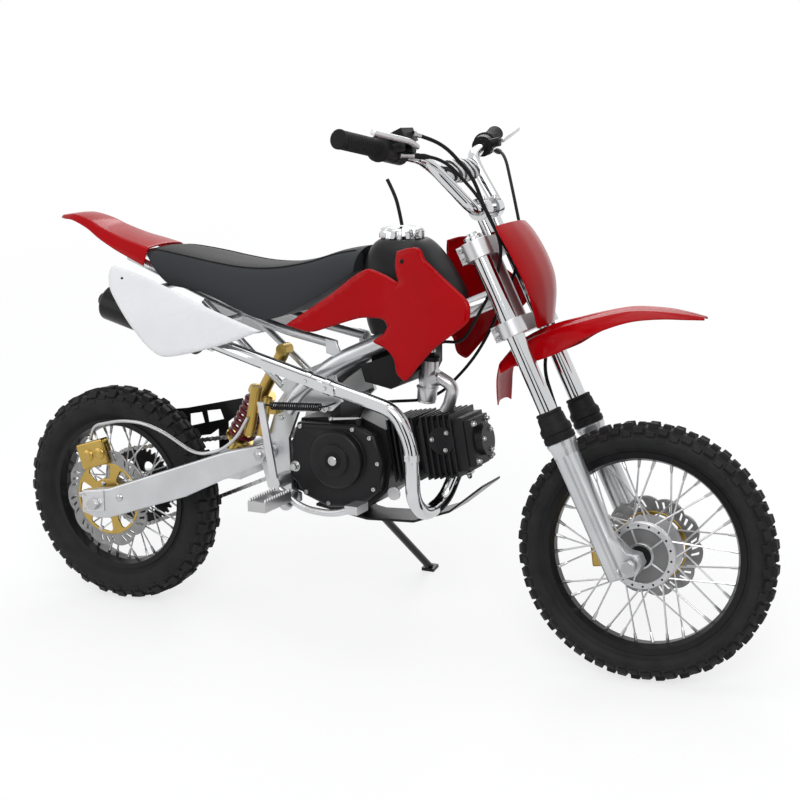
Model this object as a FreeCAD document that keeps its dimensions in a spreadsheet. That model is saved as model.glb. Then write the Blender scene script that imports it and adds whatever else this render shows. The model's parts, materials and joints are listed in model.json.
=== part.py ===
import FreeCAD, Part
import math
import os
import Sketcher
from FreeCAD import Vector, Rotation, Placement

# A small dirt bike that leans on its side stand. Every piece is drawn on the upright bike:
# X forward, Y to the bike's left, Z up, with the rear axle above X = 0.
# Pieces that steer are drawn round the steering axis, which is their Z.

# Sizes in millimetres and degrees: name, value, what it is
SIZES = [
    ("wheelbase", 1144, "rear axle to front axle"),
    ("front_radius", 239, "front tyre to the lugs' tips"),
    ("rear_radius", 228, "rear tyre to the lugs' tips"),
    ("front_width", 68, "front tyre across the tread"),
    ("rear_width", 82, "rear tyre across the tread"),
    ("front_section", 61.2, "height of the front tyre's section, on a 14 inch rim"),
    ("rear_section", 75.6, "height of the rear tyre's section, on a 12 inch rim"),
    ("front_seat", "=front_radius - front_section", "bead seat radius of the front rim"),
    ("rear_seat", "=rear_radius - rear_section", "bead seat radius of the rear rim"),
    ("front_bed", 20.5, "half the width between the front rim's flanges"),
    ("rear_bed", 26, "half the width between the rear rim's flanges"),
    ("flange", 9, "height of a rim's flange"),
    ("rim_wall", 2.6, "wall of a rim"),
    ("tread_depth", 8, "height of a tread lug"),
    ("front_lugs", 32, "lugs along each row of the front tyre"),
    ("rear_lugs", 28, "lugs along each row of the rear tyre"),
    ("lug_inset", 2, "groove beside a lug, to its facet's edge"),
    ("lug_draft", 1, "taper of a lug's sides"),
    ("shoulder_drop", 13, "shoulder row's edge below the crown"),
    ("shoulder_inset", 5.5, "shoulder row's edge inside the tyre's width"),
    ("crown_share", 0.42, "crown row's share of the tyre's width"),
    ("gap", 0.3, "clearance between seated pieces"),
    ("run", 1, "clearance of what turns"),
    ("rake", 25.85, "lean of the steering axis"),
    ("fork_offset", 52.3, "front axle ahead of the steering axis"),
    ("leg_offset", 20.5, "fork legs ahead of the steering axis"),
    ("leg_spread", 87.7, "fork leg from the middle"),
    ("leg_radius", 16.5, "fork tube"),
    ("slider_radius", 23, "fork slider"),
    ("slider_top", 247, "top of the fork slider above the axle"),
    ("boot_top", 304, "top of the dust boot"),
    ("boot_radius", 29, "dust boot"),
    ("lower_clamp", 450, "underside of the lower fork clamp"),
    ("lower_clamp_height", 29, "height of the lower fork clamp"),
    ("upper_clamp", 600, "underside of the upper fork clamp"),
    ("upper_clamp_height", 33, "height of the upper fork clamp"),
    ("stem_radius", 12, "steering stem"),
    ("head_radius", 23, "head tube"),
    ("head_bore", 13, "bore of the head tube"),
    ("bar_radius", 11, "handlebar tube"),
    ("bar_reach", 35, "handlebar clamp ahead of the steering axis"),
    ("bar_clamp", 684, "height of the handlebar clamp"),
    ("bar_half", 370, "half the handlebar's width"),
    ("bar_end", 851, "height of the handlebar's ends"),
    ("grip_length", 116, "length of a grip"),
    ("grip_radius", 16, "grip"),
    ("axle_radius", 7.5, "wheel axle"),
    ("hub_flange", 62, "front hub flange"),
    ("hub_half", 30, "half the front hub's width"),
    ("rear_flange", 44, "rear hub flange"),
    ("rear_half", 36, "half the rear hub's width"),
    ("hub_barrel", 24, "hub barrel"),
    ("spoke_radius", 1.8, "spoke"),
    ("spokes", 36, "spokes in a wheel"),
    ("disc_wall", 3.5, "thickness of a brake disc"),
    ("front_disc", 94, "front brake disc"),
    ("front_disc_bore", 62, "inside of the front disc's band"),
    ("front_disc_place", 45, "front disc from the middle"),
    ("rear_disc", 104, "rear brake disc"),
    ("rear_disc_bore", 72, "inside of the rear disc's band"),
    ("rear_disc_place", 58, "rear disc from the middle"),
    ("disc_waves", 10, "scallops round a disc"),
    ("teeth", 41, "teeth of the rear sprocket"),
    ("front_teeth", 14, "teeth of the front sprocket"),
    ("pitch", 12.7, "chain pitch"),
    ("plate_half", 5, "half the height of a chain plate"),
    ("chain_place", 55, "chain line from the middle"),
    ("sprocket_wall", 5, "thickness of a sprocket"),
    ("arm_outer", 105, "outside of the swingarm from the middle"),
    ("arm_wall", 25, "width of a swingarm leg"),
    ("pivot_x", 405, "swingarm pivot ahead of the rear axle"),
    ("pivot_z", 371, "height of the swingarm pivot"),
    ("crank_x", 564, "crankshaft"),
    ("crank_z", 374, "height of the crankshaft"),
    ("cylinder_tilt", 9.5, "cylinder above level"),
    ("fins", 6, "cooling fins on the barrel"),
    ("case_half", 60, "half the width of the crankcase"),
    ("cover_depth", 45, "depth of the clutch cover"),
    ("exhaust_radius", 14, "exhaust pipe"),
    ("silencer_radius", 36, "silencer"),
    ("silencer_length", 226, "silencer"),
    ("spar_radius", 17, "frame spar"),
    ("rail_radius", 9, "subframe tube"),
    ("panel_wall", 3, "thickness of a moulded panel"),
    ("cap_radius", 43, "filler cap"),
    ("cap_height", 22, "filler cap"),
    ("cable_radius", 3, "control cable"),
    ("hose_radius", 3.4, "brake and vent hose"),
    ("shock_radius", 13, "shock absorber body"),
    ("spring_radius", 29, "outside of the shock spring"),
    ("spring_pitch", 14, "rise of one turn of the shock spring"),
    ("spring_wire", 5, "radius of the shock spring's wire"),
    ("stand_radius", 8, "side stand tube"),
    ("stand_foot_x", 573, "side stand's foot ahead of the rear axle"),
    ("stand_foot_y", 305, "side stand's foot from the middle"),
    ("lean", 10, "lean of the whole bike"),
    ("steer", 3.83, "handlebar turned to the left"),
]

doc = FreeCAD.newDocument("dirt_bike")
sheet = doc.addObject("Spreadsheet::Sheet", "sizes")
for row, (name, value, meaning) in enumerate(SIZES, 1):
    sheet.set("A%d" % row, name)
    sheet.set("B%d" % row, str(value))
    sheet.set("C%d" % row, meaning)
    sheet.setAlias("B%d" % row, name)
doc.recompute()

PIECES = []


def size(name):
    return float(sheet.get(name))


def number(expression):
    """The value of an expression of sheet names, worked out in a cell beside the table."""
    sheet.set("E1", "=" + expression.replace("sizes.", ""))
    sheet.recompute()
    return float(sheet.get("E1"))


# Naming and placing
def keep(label, thing, frame="bike"):
    """Registers a finished sub-part: an object of the document, or a shape made in code."""
    if isinstance(thing, Part.Shape):
        holder = doc.addObject("Part::Feature", label)
        holder.Shape = thing
        thing = holder
    thing.Label = label
    PIECES.append((label, thing, frame))
    return thing


# Sketches bound to the sheet
def planeOf(body, role):
    return next(item for item in body.Origin.OriginFeatures if item.Role == role)


def sketchOn(body, role):
    sketch = body.newObject("Sketcher::SketchObject", body.Name + "_sketch")
    sketch.AttachmentSupport = [(planeOf(body, role), "")]
    sketch.MapMode = "FlatFace"
    return sketch


def outlineSketch(body, role, corners):
    """A closed outline whose corners (across, up) are written with the sheet's names."""
    sketch = sketchOn(body, role)
    places = [Vector(number(across), number(up), 0) for across, up in corners]
    count = len(places)
    sketch.addGeometry([Part.LineSegment(places[i], places[(i + 1) % count]) for i in range(count)], False)
    for i in range(count):
        sketch.addConstraint(Sketcher.Constraint("Coincident", i, 2, (i + 1) % count, 1))
    for i, (across, up) in enumerate(corners):
        for kind, value, words in (("DistanceX", places[i].x, across), ("DistanceY", places[i].y, up)):
            made = sketch.addConstraint(Sketcher.Constraint(kind, -1, 1, i, 1, value))
            sketch.setExpression("Constraints[%d]" % made, words.replace("<<", "").replace(">>", ""))
    return sketch


def newBody(label):
    body = doc.addObject("PartDesign::Body", label)
    body.Label = label
    return body


def turned(label, corners):
    """A body turned about Y from corners (radius, place along Y)."""
    body = newBody(label)
    sketch = outlineSketch(body, "XY_Plane", corners)
    solid = body.newObject("PartDesign::Revolution", label + "_turn")
    solid.Profile = sketch
    solid.ReferenceAxis = (sketch, ["V_Axis"])
    solid.Angle = 360
    doc.recompute()
    return body


# Solids by code
def rod(start, end, radius, bore=0):
    along = end - start
    solid = Part.makeCylinder(radius, along.Length, start, along)
    return solid.cut(Part.makeCylinder(bore, along.Length, start, along)) if bore else solid


def bar(start, end, radius, sides=6):
    """A straight bar of a few flat sides."""
    along = end - start
    turn = Rotation(Vector(0, 0, 1), along)
    corners = [start + turn.multVec(Vector(radius * math.cos(2 * math.pi * i / sides),
                                           radius * math.sin(2 * math.pi * i / sides), 0))
               for i in range(sides)]
    return Part.Face(Part.makePolygon(corners + corners[:1])).extrude(along)


def slab(outline, low, high):
    """An outline of (x, z) points pushed along Y from low to high."""
    corners = [Vector(x, low, z) for x, z in outline]
    return Part.Face(Part.makePolygon(corners + corners[:1])).extrude(Vector(0, high - low, 0))


def tile(outline, low, high):
    """An outline of (x, y) points pushed along Z from low to high."""
    corners = [Vector(x, y, low) for x, y in outline]
    return Part.Face(Part.makePolygon(corners + corners[:1])).extrude(Vector(0, 0, high - low))


def block(low, high):
    return Part.makeBox(high[0] - low[0], high[1] - low[1], high[2] - low[2], Vector(*low))


def skin(sections):
    """A solid through closed sections with as many corners each."""
    wires = [Part.makePolygon(list(section) + [section[0]]) for section in sections]
    return Part.makeLoft(wires, True, True)


def bend(points, share=0.45):
    """Straight runs joined by arcs that touch them, as large as the shorter run allows."""
    edges, last = [], points[0]
    radii = []
    for before, corner, after in zip(points, points[1:], points[2:]):
        back, ahead = before - corner, after - corner
        turn = math.pi - back.getAngle(ahead)
        reach = share * min(back.Length, ahead.Length)
        radii.append(reach / math.tan(turn / 2))
        back.normalize()
        ahead.normalize()
        start, end = corner + back * reach, corner + ahead * reach
        middle = back + ahead
        middle.normalize()
        sag = radii[-1] * (1 / math.cos(turn / 2) - 1)
        edges.append(Part.LineSegment(last, start).toShape())
        edges.append(Part.Arc(start, corner + middle * sag, end).toShape())
        last = end
    edges.append(Part.LineSegment(last, points[-1]).toShape())
    return Part.Wire(edges), radii


def tube(name, points, radius, share=0.45):
    """A round bar along a bent path, its volume compared with section times length."""
    path, radii = bend(points, share)
    along = points[1] - points[0]
    ring = Part.Wire(Part.makeCircle(radius, points[0], along))
    solid = path.makePipeShell([ring], True, False)
    wanted = math.pi * radius ** 2 * path.Length
    print("%s: length %.1f, radii %s, volume %.4f of section times length"
          % (name, path.Length, " ".join("%.0f" % r for r in radii), solid.Volume / wanted))
    return solid


def softened(shape, radius, side=None):
    """Rounds the straight edges of a casting, all of them or those of its flat face at one side along Y."""
    edges = [edge for edge in shape.Edges if isinstance(edge.Curve, Part.Line)]
    if side is not None:
        edges = [edge for edge in edges if all(abs(end.Point.y - side) < 0.01 for end in edge.Vertexes)]
    return shape.makeFillet(radius, edges)


def roundEnd(solid, radius, end):
    """Rounds the circle round a turned piece's end face."""
    rings = [edge for edge in solid.Edges if isinstance(edge.Curve, Part.Circle)
             and (edge.Curve.Center - end).Length < 0.01]
    return solid.makeFillet(radius, rings)


def joined(solids):
    whole = solids[0].multiFuse(solids[1:])
    return whole.removeSplitter()


def mirrored(shape):
    return shape.mirror(Vector(0, 0, 0), Vector(0, 1, 0))


def both(shape):
    """A shape and its mirror image on the other side of the bike."""
    return [shape, mirrored(shape)]


def arch(x, crown, half, drop, wall):
    """A thin arched section across the bike, as a closed list of corners."""
    shares = [(-1, 1), (-0.82, 0.35), (-0.4, 0.06), (0.4, 0.06), (0.82, 0.35), (1, 1)]
    outer = [Vector(x, half * a, crown - drop * b) for a, b in shares]
    inner = [Vector(x, (half - wall) * a, crown - wall - (drop - wall) * b) for a, b in shares]
    return outer + inner[::-1]


# Main places
gap, run = size("gap"), size("run")
wheelbase = size("wheelbase")
rearAxle = Vector(0, 0, size("rear_radius"))
frontAxle = Vector(wheelbase, 0, size("front_radius"))
rake = math.radians(size("rake"))
across, along = Vector(math.cos(rake), 0, math.sin(rake)), Vector(-math.sin(rake), 0, math.cos(rake))
steerFoot = frontAxle - across * size("fork_offset")
pivot = Vector(size("pivot_x"), 0, size("pivot_z"))
crank = Vector(size("crank_x"), 0, size("crank_z"))

tiltBack = Placement(steerFoot, Rotation(Vector(0, 1, 0), -size("rake")))
turnHead = Placement(Vector(), Rotation(Vector(0, 0, 1), size("steer")))
steerFrame = tiltBack * turnHead


def turnedPoint(ahead, side, height):
    """A point of the steered head in the bike's frame."""
    return steerFrame.multVec(Vector(ahead, side, height))


def headPoint(height, ahead=0, side=0):
    """A point of the unsteered head, given along and across the steering axis."""
    return steerFoot + along * height + across * ahead + Vector(0, side, 0)


# Wheels, each drawn round its axle along Y
def flatFace(outline, hole=None):
    """A flat face with corners all round it, and a second outline left open."""
    wires = [Part.makePolygon(corners + corners[:1]) for corners in (outline, hole) if corners]
    return Part.makeFace(Part.makeCompound(wires), "Part::FaceMakerBullseye")


def tyre(seat, bed, radius, width, lugs):
    """A tyre with its tube, closed all round. Flat facets go round it, two for each pitch of the lugs:
    a shoulder lug stands on every second facet, and a crown lug on the ones between."""
    facets = 2 * int(size(lugs))
    step = 2 * math.pi / facets
    deep, inset, draft = size("tread_depth"), size("lug_inset"), size("lug_draft")
    lugHalf = (size(radius) - 2 * deep) * math.tan(step / 2) - inset
    crown = math.sqrt(size(radius) ** 2 - (lugHalf - draft) ** 2) - deep
    half = size(width) / 2
    # radius, side, and which facets of the row that follows carry a lug
    right = [(size(seat) + gap, size(bed) - gap, None),
             (size(seat) + size("flange") + 2, size(bed) - gap, None),
             ((size(seat) + crown) / 2, half - 3, None),
             (crown - size("shoulder_drop"), half - size("shoulder_inset"), 0),
             (crown, half * size("crown_share"), 1)]
    left = [(reach, -side) for reach, side, lug in reversed(right)]
    section = right + [left[0] + (0,)] + [corner + (None,) for corner in left[1:]]
    faces = []
    for i in range(facets):
        out = Vector(math.cos(i * step), 0, math.sin(i * step))
        round_ = Vector(-out.z, 0, out.x)
        for (r, y, lug), (nextR, nextY, after) in zip(section, section[1:] + section[:1]):
            near, far = out * r + Vector(0, y, 0), out * nextR + Vector(0, nextY, 0)
            nearHalf, farHalf = round_ * (r * math.tan(step / 2)), round_ * (nextR * math.tan(step / 2))
            facet = [near - nearHalf, near + nearHalf, far + farHalf, far - farHalf]
            if lug is None or i % 2 != lug:
                faces.append(flatFace(facet))
                continue
            over = far - near
            length = over.Length
            over.normalize()
            rise = out * -over.y + Vector(0, over.dot(out), 0)

            def lugCorners(shrink, height):
                long, first, last = lugHalf - shrink, inset + shrink, length - inset - shrink
                return [near + round_ * u + over * v + rise * height
                        for u, v in ((-long, first), (long, first), (long, last), (-long, last))]

            foot, top = lugCorners(0, 0), lugCorners(draft, deep)
            faces.append(flatFace(facet, foot))
            faces.append(flatFace(top))
            faces += [flatFace([foot[j - 1], foot[j], top[j], top[j - 1]]) for j in range(4)]
    shell = Part.makeShell(faces)
    shell.sewShape()
    solid = Part.makeSolid(shell)
    if solid.Volume < 0:
        solid.reverse()
    return solid


def rim(label, seat, bed):
    seat, bed, wall = "sizes." + seat, "sizes." + bed, "sizes.rim_wall"
    corners = [
        ("%s + sizes.flange" % seat, "%s + %s" % (bed, wall)),
        ("%s + sizes.flange" % seat, bed),
        (seat, bed),
        (seat, "%s*0.55" % bed),
        ("%s - 6" % seat, "%s*0.35" % bed),
        ("%s - 6" % seat, "-%s*0.35" % bed),
        (seat, "-%s*0.55" % bed),
        (seat, "-%s" % bed),
        ("%s + sizes.flange" % seat, "-%s" % bed),
        ("%s + sizes.flange" % seat, "-(%s + %s)" % (bed, wall)),
        ("%s - %s" % (seat, wall), "-(%s + %s)" % (bed, wall)),
        ("%s - 6 - %s" % (seat, wall), "-%s*0.45" % bed),
        ("%s - 6 - %s" % (seat, wall), "%s*0.45" % bed),
        ("%s - %s" % (seat, wall), "%s + %s" % (bed, wall)),
    ]
    return turned(label, corners)


def hub(label, flange, half):
    flange, half = "sizes." + flange, "sizes." + half
    bore = "sizes.axle_radius + sizes.gap"
    corners = [
        (bore, "-(%s + 6)" % half),
        ("sizes.hub_barrel*0.7", "-(%s + 6)" % half),
        ("sizes.hub_barrel*0.7", "-%s" % half),
        (flange, "-%s" % half),
        (flange, "-(%s - 5)" % half),
        ("sizes.hub_barrel + 6", "-(%s - 8)" % half),
        ("sizes.hub_barrel", "-(%s - 14)" % half),
        ("sizes.hub_barrel", "%s - 14" % half),
        ("sizes.hub_barrel + 6", "%s - 8" % half),
        (flange, "%s - 5" % half),
        (flange, half),
        ("sizes.hub_barrel*0.7", half),
        ("sizes.hub_barrel*0.7", "%s + 6" % half),
        (bore, "%s + 6" % half),
    ]
    return turned(label, corners)


def spokeSet(flange, half, seat):
    """Spokes laced in pairs from the hub's two flanges to the rim's well."""
    count = int(size("spokes"))
    rimRadius = size(seat) - 6 - size("rim_wall") - gap
    holes, reach = size(flange) - 4, size(half) - 2.5
    solids = []
    for i in range(count):
        side = 1 if i % 2 else -1
        lace = 1 if (i // 2) % 2 else -1
        angle = 2 * math.pi * i / count
        away = angle + lace * math.radians(26)
        start = Vector(holes * math.cos(away), side * reach, holes * math.sin(away))
        end = Vector(rimRadius * math.cos(angle), side * 3, rimRadius * math.sin(angle))
        solids.append(bar(start, end - (end - start) * (0.4 / (end - start).Length), size("spoke_radius")))
    return solids


def wheelHub(label, flange, half, seat, frame):
    solid = hub(label + "_core", flange, half)
    whole = joined([solid.Shape] + spokeSet(flange, half, seat))
    keep(label, whole, frame)


def waveDisc(label, radius, bore, place, waves, sign):
    """A brake band with scalloped edges and slots, carried by arms from the hub."""
    half = size("disc_wall") / 2
    middle = sign * size(place)
    outer, inner, count = size(radius), size(bore), int(size(waves))
    corners = []
    steps = count * 6
    for i in range(steps):
        angle = 2 * math.pi * i / steps
        reach = outer - 4 * (1 - math.cos(count * angle)) / 2
        corners.append((reach * math.cos(angle), reach * math.sin(angle)))
    band = slab(corners, middle - half, middle + half)
    band = band.cut(Part.makeCylinder(inner, 2 * size("disc_wall"),
                                      Vector(0, middle - size("disc_wall"), 0), Vector(0, 1, 0)))
    return band


def carrier(inner, sign, place, hubRadius):
    """The disc's carrier: a ring bolted to the hub with arms out to the band."""
    half = size("disc_wall") / 2
    middle = sign * size(place)
    ringOut = inner - 14
    solids = [rod(Vector(0, middle - half, 0), Vector(0, middle + half, 0), ringOut, hubRadius)]
    for i in range(5):
        angle = 2 * math.pi * (i + 0.5) / 5
        turn = Rotation(Vector(0, 1, 0), math.degrees(angle))
        arm = block((ringOut - 4, middle - half, -9), (math.sqrt(inner ** 2 - 81) - gap, middle + half, 9))
        arm.Placement = Placement(Vector(), turn)
        solids.append(arm)
    return joined(solids)


offset = size("fork_offset")
FRAMES = {
    "bike": Placement(),
    "steer": steerFrame,
    "fork_axle": steerFrame * Placement(Vector(offset, 0, 0), Rotation()),
    "front_wheel": steerFrame * Placement(Vector(offset, 0, 0), Rotation()),
    "rear_wheel": Placement(rearAxle, Rotation()),
}
keep("front_tyre", tyre("front_seat", "front_bed", "front_radius", "front_width", "front_lugs"), "front_wheel")
keep("rear_tyre", tyre("rear_seat", "rear_bed", "rear_radius", "rear_width", "rear_lugs"), "rear_wheel")


def lowest(label, placement):
    """The lowest point of a tyre, from a fine mesh."""
    thing, frame = next((item, where) for name, item, where in PIECES if name == label)
    shape = thing.Shape.copy()
    shape.Placement = placement * FRAMES[frame] * shape.Placement
    return min(corner.z for corner in shape.tessellate(0.05)[0])


def settled():
    """Leans the bike over, then tips and lifts it until both tyres touch the ground."""
    leaning = Placement(Vector(), Rotation(Vector(1, 0, 0), -size("lean")))
    front, rear = lowest("front_tyre", leaning), lowest("rear_tyre", leaning)
    tip = math.degrees(math.atan((front - rear) / size("wheelbase")))
    leaning = Placement(Vector(), Rotation(Vector(0, 1, 0), tip)) * leaning
    lift = -min(lowest("front_tyre", leaning), lowest("rear_tyre", leaning))
    print("tyres apart", round(front - rear, 3), "tip", round(tip, 4))
    return Placement(Vector(0, 0, lift), Rotation()) * leaning


standing = settled()
keep("front_rim", rim("front_rim", "front_seat", "front_bed"), "front_wheel")
keep("rear_rim", rim("rear_rim", "rear_seat", "rear_bed"), "rear_wheel")
wheelHub("front_hub_and_spokes", "hub_flange", "hub_half", "front_seat", "front_wheel")
wheelHub("rear_hub_and_spokes", "rear_flange", "rear_half", "rear_seat", "rear_wheel")
frontBand = waveDisc("front_disc", "front_disc", "front_disc_bore", "front_disc_place", "disc_waves", 1)
rearBand = waveDisc("rear_disc", "rear_disc", "rear_disc_bore", "rear_disc_place", "disc_waves", -1)


barrel = size("hub_barrel") * 0.7 + gap
frontCarrier = joined([carrier(size("front_disc_bore"), 1, "front_disc_place", barrel),
                       rod(Vector(0, size("hub_half") + gap, 0), Vector(0, size("front_disc_place"), 0),
                           barrel + 8, barrel)])
rearCarrier = joined([carrier(size("rear_disc_bore"), -1, "rear_disc_place", barrel),
                      rod(Vector(0, -size("rear_half") - gap, 0), Vector(0, -size("rear_disc_place"), 0),
                          barrel + 8, barrel)])
keep("front_disc", Part.makeCompound([frontBand, frontCarrier]), "front_wheel")
keep("rear_disc", Part.makeCompound([rearBand, rearCarrier]), "rear_wheel")


def sprocketOutline(teeth):
    """Tooth tips and roots round a sprocket of the chain's pitch."""
    pitchRadius = size("pitch") / 2 / math.sin(math.pi / teeth)
    corners = []
    for i in range(teeth):
        for share, reach in ((-0.28, -2.8), (-0.1, 4.2), (0.1, 4.2), (0.28, -2.8)):
            angle = 2 * math.pi * (i + share) / teeth
            corners.append(((pitchRadius + reach) * math.cos(angle), (pitchRadius + reach) * math.sin(angle)))
    return corners, pitchRadius


def sprocket():
    corners, pitchRadius = sprocketOutline(int(size("teeth")))
    middle, half = size("chain_place"), size("sprocket_wall") / 2
    body = slab(corners, middle - half, middle + half)
    body = body.cut(rod(Vector(0, middle - 2 * half, 0), Vector(0, middle + 2 * half, 0), barrel))
    for i in range(6):
        angle = 2 * math.pi * i / 6
        middleHole = Vector(50 * math.cos(angle), middle - 2 * half, 50 * math.sin(angle))
        body = body.cut(rod(middleHole, middleHole + Vector(0, 4 * half, 0), 13))
    seat = rod(Vector(0, size("rear_half") + gap, 0), Vector(0, middle, 0), barrel + 10, barrel)
    return joined([body, seat])


keep("rear_sprocket", sprocket(), "rear_wheel")

# Axles with their nuts
frontReach = size("leg_spread") + size("slider_radius") + 4
rearReach = size("arm_outer") + 3


def axle(half):
    solids = [rod(Vector(0, -half, 0), Vector(0, half, 0), size("axle_radius"))]
    for sign in (-1, 1):
        solids.append(bar(Vector(0, sign * half, 0), Vector(0, sign * (half + 11), 0), 13))
    return joined(solids)


keep("front_axle", axle(frontReach), "fork_axle")

# Fork, drawn round the steering axis
legPlace = (size("leg_offset"), size("leg_spread"))


def legRod(low, high, radius, bore=0):
    return rod(Vector(legPlace[0], legPlace[1], low), Vector(legPlace[0], legPlace[1], high), radius, bore)


def slider():
    radius = size("slider_radius")
    leg = legRod(-14, size("slider_top"), radius)
    low, high = legPlace[1] - 19, legPlace[1] + 19
    lug = slab([(legPlace[0] - 15, -16), (offset + 4, -20), (offset + 18, -8), (offset + 18, 10),
                (offset + 2, 22), (legPlace[0] + 16, 62), (legPlace[0] - 15, 62)], low, high)
    hole = rod(Vector(offset, low - 30, 0), Vector(offset, high + 30, 0), size("axle_radius") + gap)
    faces = [block((-80, legPlace[1] + radius + 4, -80), (120, legPlace[1] + 90, 40))]
    whole = joined([leg, lug]).cut(hole)
    return whole.cut(faces[0])


keep("fork_sliders", Part.makeCompound(both(slider())), "steer")
keep("fork_tubes", Part.makeCompound(both(legRod(size("slider_top") + gap,
                                                 size("upper_clamp") + size("upper_clamp_height") + 6,
                                                 size("leg_radius")))), "steer")
boot = joined([legRod(size("slider_top") + gap, size("slider_top") + 30, size("boot_radius"),
                      size("leg_radius") + gap),
               legRod(size("slider_top") + 30, size("boot_top"), size("boot_radius") - 4,
                      size("leg_radius") + gap)])
keep("dust_boots", Part.makeCompound(both(boot)), "steer")


def clamp(low, high, lip):
    """A fork clamp: a bridge from the steering axis to a collar on each leg."""
    ahead, side = legPlace
    bridge = tile([(-26, -28), (-26, 28), (ahead - 8, side - 6), (ahead + 20, side - 10), (ahead + 20, -side + 10), (ahead - 8, -side + 6)], low, high)
    solids = [bridge] + both(legRod(low - lip, high + lip, size("leg_radius") + 9))
    for ear in both(block((ahead - 36, side - 7, low), (ahead - 18, side + 7, high))):
        solids.append(ear)
    whole = joined(solids)
    for hole in both(legRod(low - 20, high + 20, size("leg_radius") + gap)):
        whole = whole.cut(hole)
    return whole


lowTop = size("lower_clamp") + size("lower_clamp_height")
highTop = size("upper_clamp") + size("upper_clamp_height")
stem = rod(Vector(0, 0, size("lower_clamp")), Vector(0, 0, highTop + 8), size("stem_radius"))
keep("fork_clamps", joined([clamp(size("lower_clamp"), lowTop, 0), clamp(size("upper_clamp"), highTop, 0), stem]),
     "steer")

# Handlebar with its clamps
reach, barHeight = size("bar_reach"), size("bar_clamp")
barPoints = [Vector(reach, 0, barHeight), Vector(reach, 66, barHeight),
             Vector(8, 112, barHeight + 112), Vector(-17, size("bar_half"), size("bar_end"))]
halfBar = tube("handlebar", barPoints, size("bar_radius"), 0.3)
crossHeight = barHeight + 84
crossBar = rod(Vector(15, -101, crossHeight), Vector(15, 101, crossHeight), size("bar_radius") * 0.6)
barSolid = joined(both(halfBar) + [crossBar])


def riser(side):
    inside = size("bar_radius") + gap
    post = rod(Vector(reach - 3, side, highTop + gap), Vector(reach - 3, side, barHeight), 11)
    collar = rod(Vector(reach, side - 13, barHeight), Vector(reach, side + 13, barHeight), 20)
    hole = rod(Vector(reach, side - 14, barHeight), Vector(reach, side + 14, barHeight), inside)
    return joined([post, collar]).cut(hole)


keep("handlebar", Part.makeCompound([barSolid] + both(riser(30))), "steer")
padRadius = 22
keep("bar_pad", rod(Vector(15, -72, crossHeight), Vector(15, 72, crossHeight), padRadius,
                    size("bar_radius") * 0.6 + gap), "steer")
barEnd, barBend = barPoints[3], barPoints[2]
barLine = barEnd - barBend
barLine.normalize()


def onBar(fromEnd):
    return barEnd - barLine * fromEnd


def grip():
    inside = size("bar_radius") + gap
    length = size("grip_length")
    sleeve = rod(onBar(length), onBar(-6), size("grip_radius"), inside)
    flange = rod(onBar(length), onBar(length - 6), size("grip_radius") + 7, inside)
    stop = rod(onBar(0), onBar(-6), size("grip_radius") + 1)
    return joined([sleeve, flange, stop]).cut(rod(onBar(length + 1), onBar(0) - barLine * gap, inside))


keep("grips", Part.makeCompound(both(grip())), "steer")


def control(side, start, length):
    """A lever perch and its housing clamped round the bar."""
    inside = size("bar_radius") + gap
    a, b = onBar(start), onBar(start + length)
    housing = joined([rod(a, b, size("bar_radius") + 9), rod((a + b) / 2, (a + b) / 2 + Vector(34, 0, -8), 9)])
    housing = housing.cut(rod(onBar(start - 5), onBar(start + length + 5), inside))
    return housing


gripStart = size("grip_length")
throttle = mirrored(control(1, gripStart + gap, 34))
perchRight = mirrored(joined([control(1, gripStart + 38, 26),
                              Part.makeBox(30, 54, 24, Vector(10, 192, 820))]).cut(
    rod(onBar(gripStart + 20), onBar(gripStart + 90), size("bar_radius") + gap)))
perchLeft = control(1, gripStart + gap, 30)
keep("bar_controls", Part.makeCompound([throttle, perchRight, perchLeft]), "steer")


def blade(start):
    pivotPoint = onBar(start) + Vector(40, 0, -8)
    tip = onBar(12) + Vector(52, 0, -10)
    middle = onBar(start - 40) + Vector(50, 0, -8)
    return tube("lever", [pivotPoint, middle, tip], 5, 0.3)


keep("lever_blades", Part.makeCompound([mirrored(blade(gripStart + 52)), blade(gripStart + 16)]), "steer")


# Number plate and front mudguard
def numberPlate():
    rows = [(447, 57, 49, 6), (525, 88, 88, 12), (590, 87, 92, 12), (640, 76, 85, 8)]
    wall = size("panel_wall")
    sections = []
    for height, ahead, half, curl in rows:
        front = [Vector(ahead - curl, -half, height), Vector(ahead, -half * 0.6, height),
                 Vector(ahead, half * 0.6, height), Vector(ahead - curl, half, height)]
        back = [Vector(v.x - wall, v.y, v.z) for v in front]
        sections.append(front + back[::-1])
    tab = block((legPlace[0] + 20 + gap, 10, size("upper_clamp") + 4), (81.5, 24, size("upper_clamp") + 12))
    return joined([skin(sections), tab])


keep("number_plate", numberPlate(), "steer")


def frontFender():
    # ahead, crown, half width, drop of the sides
    rows = [(-44, 424, 48, 22), (15, 437, 55, 40), (75, 436, 58, 44), (150, 425, 61, 28),
            (215, 412, 58, 20), (271, 384, 46, 12), (322, 348, 20, 5)]
    shell = skin([arch(*row, size("panel_wall")) for row in rows])
    tongue = skin([[Vector(-44, -44, 424), Vector(-44, 44, 424), Vector(-40, 44, 420), Vector(-40, -44, 420)],
                   [Vector(-84, -38, 356), Vector(-84, 38, 356), Vector(-80, 38, 354), Vector(-80, -38, 354)]])
    pad = block((-12, -20, 428), (30, 20, size("lower_clamp") - gap))
    return joined([shell, tongue, pad])


keep("front_fender", frontFender(), "steer")


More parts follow.
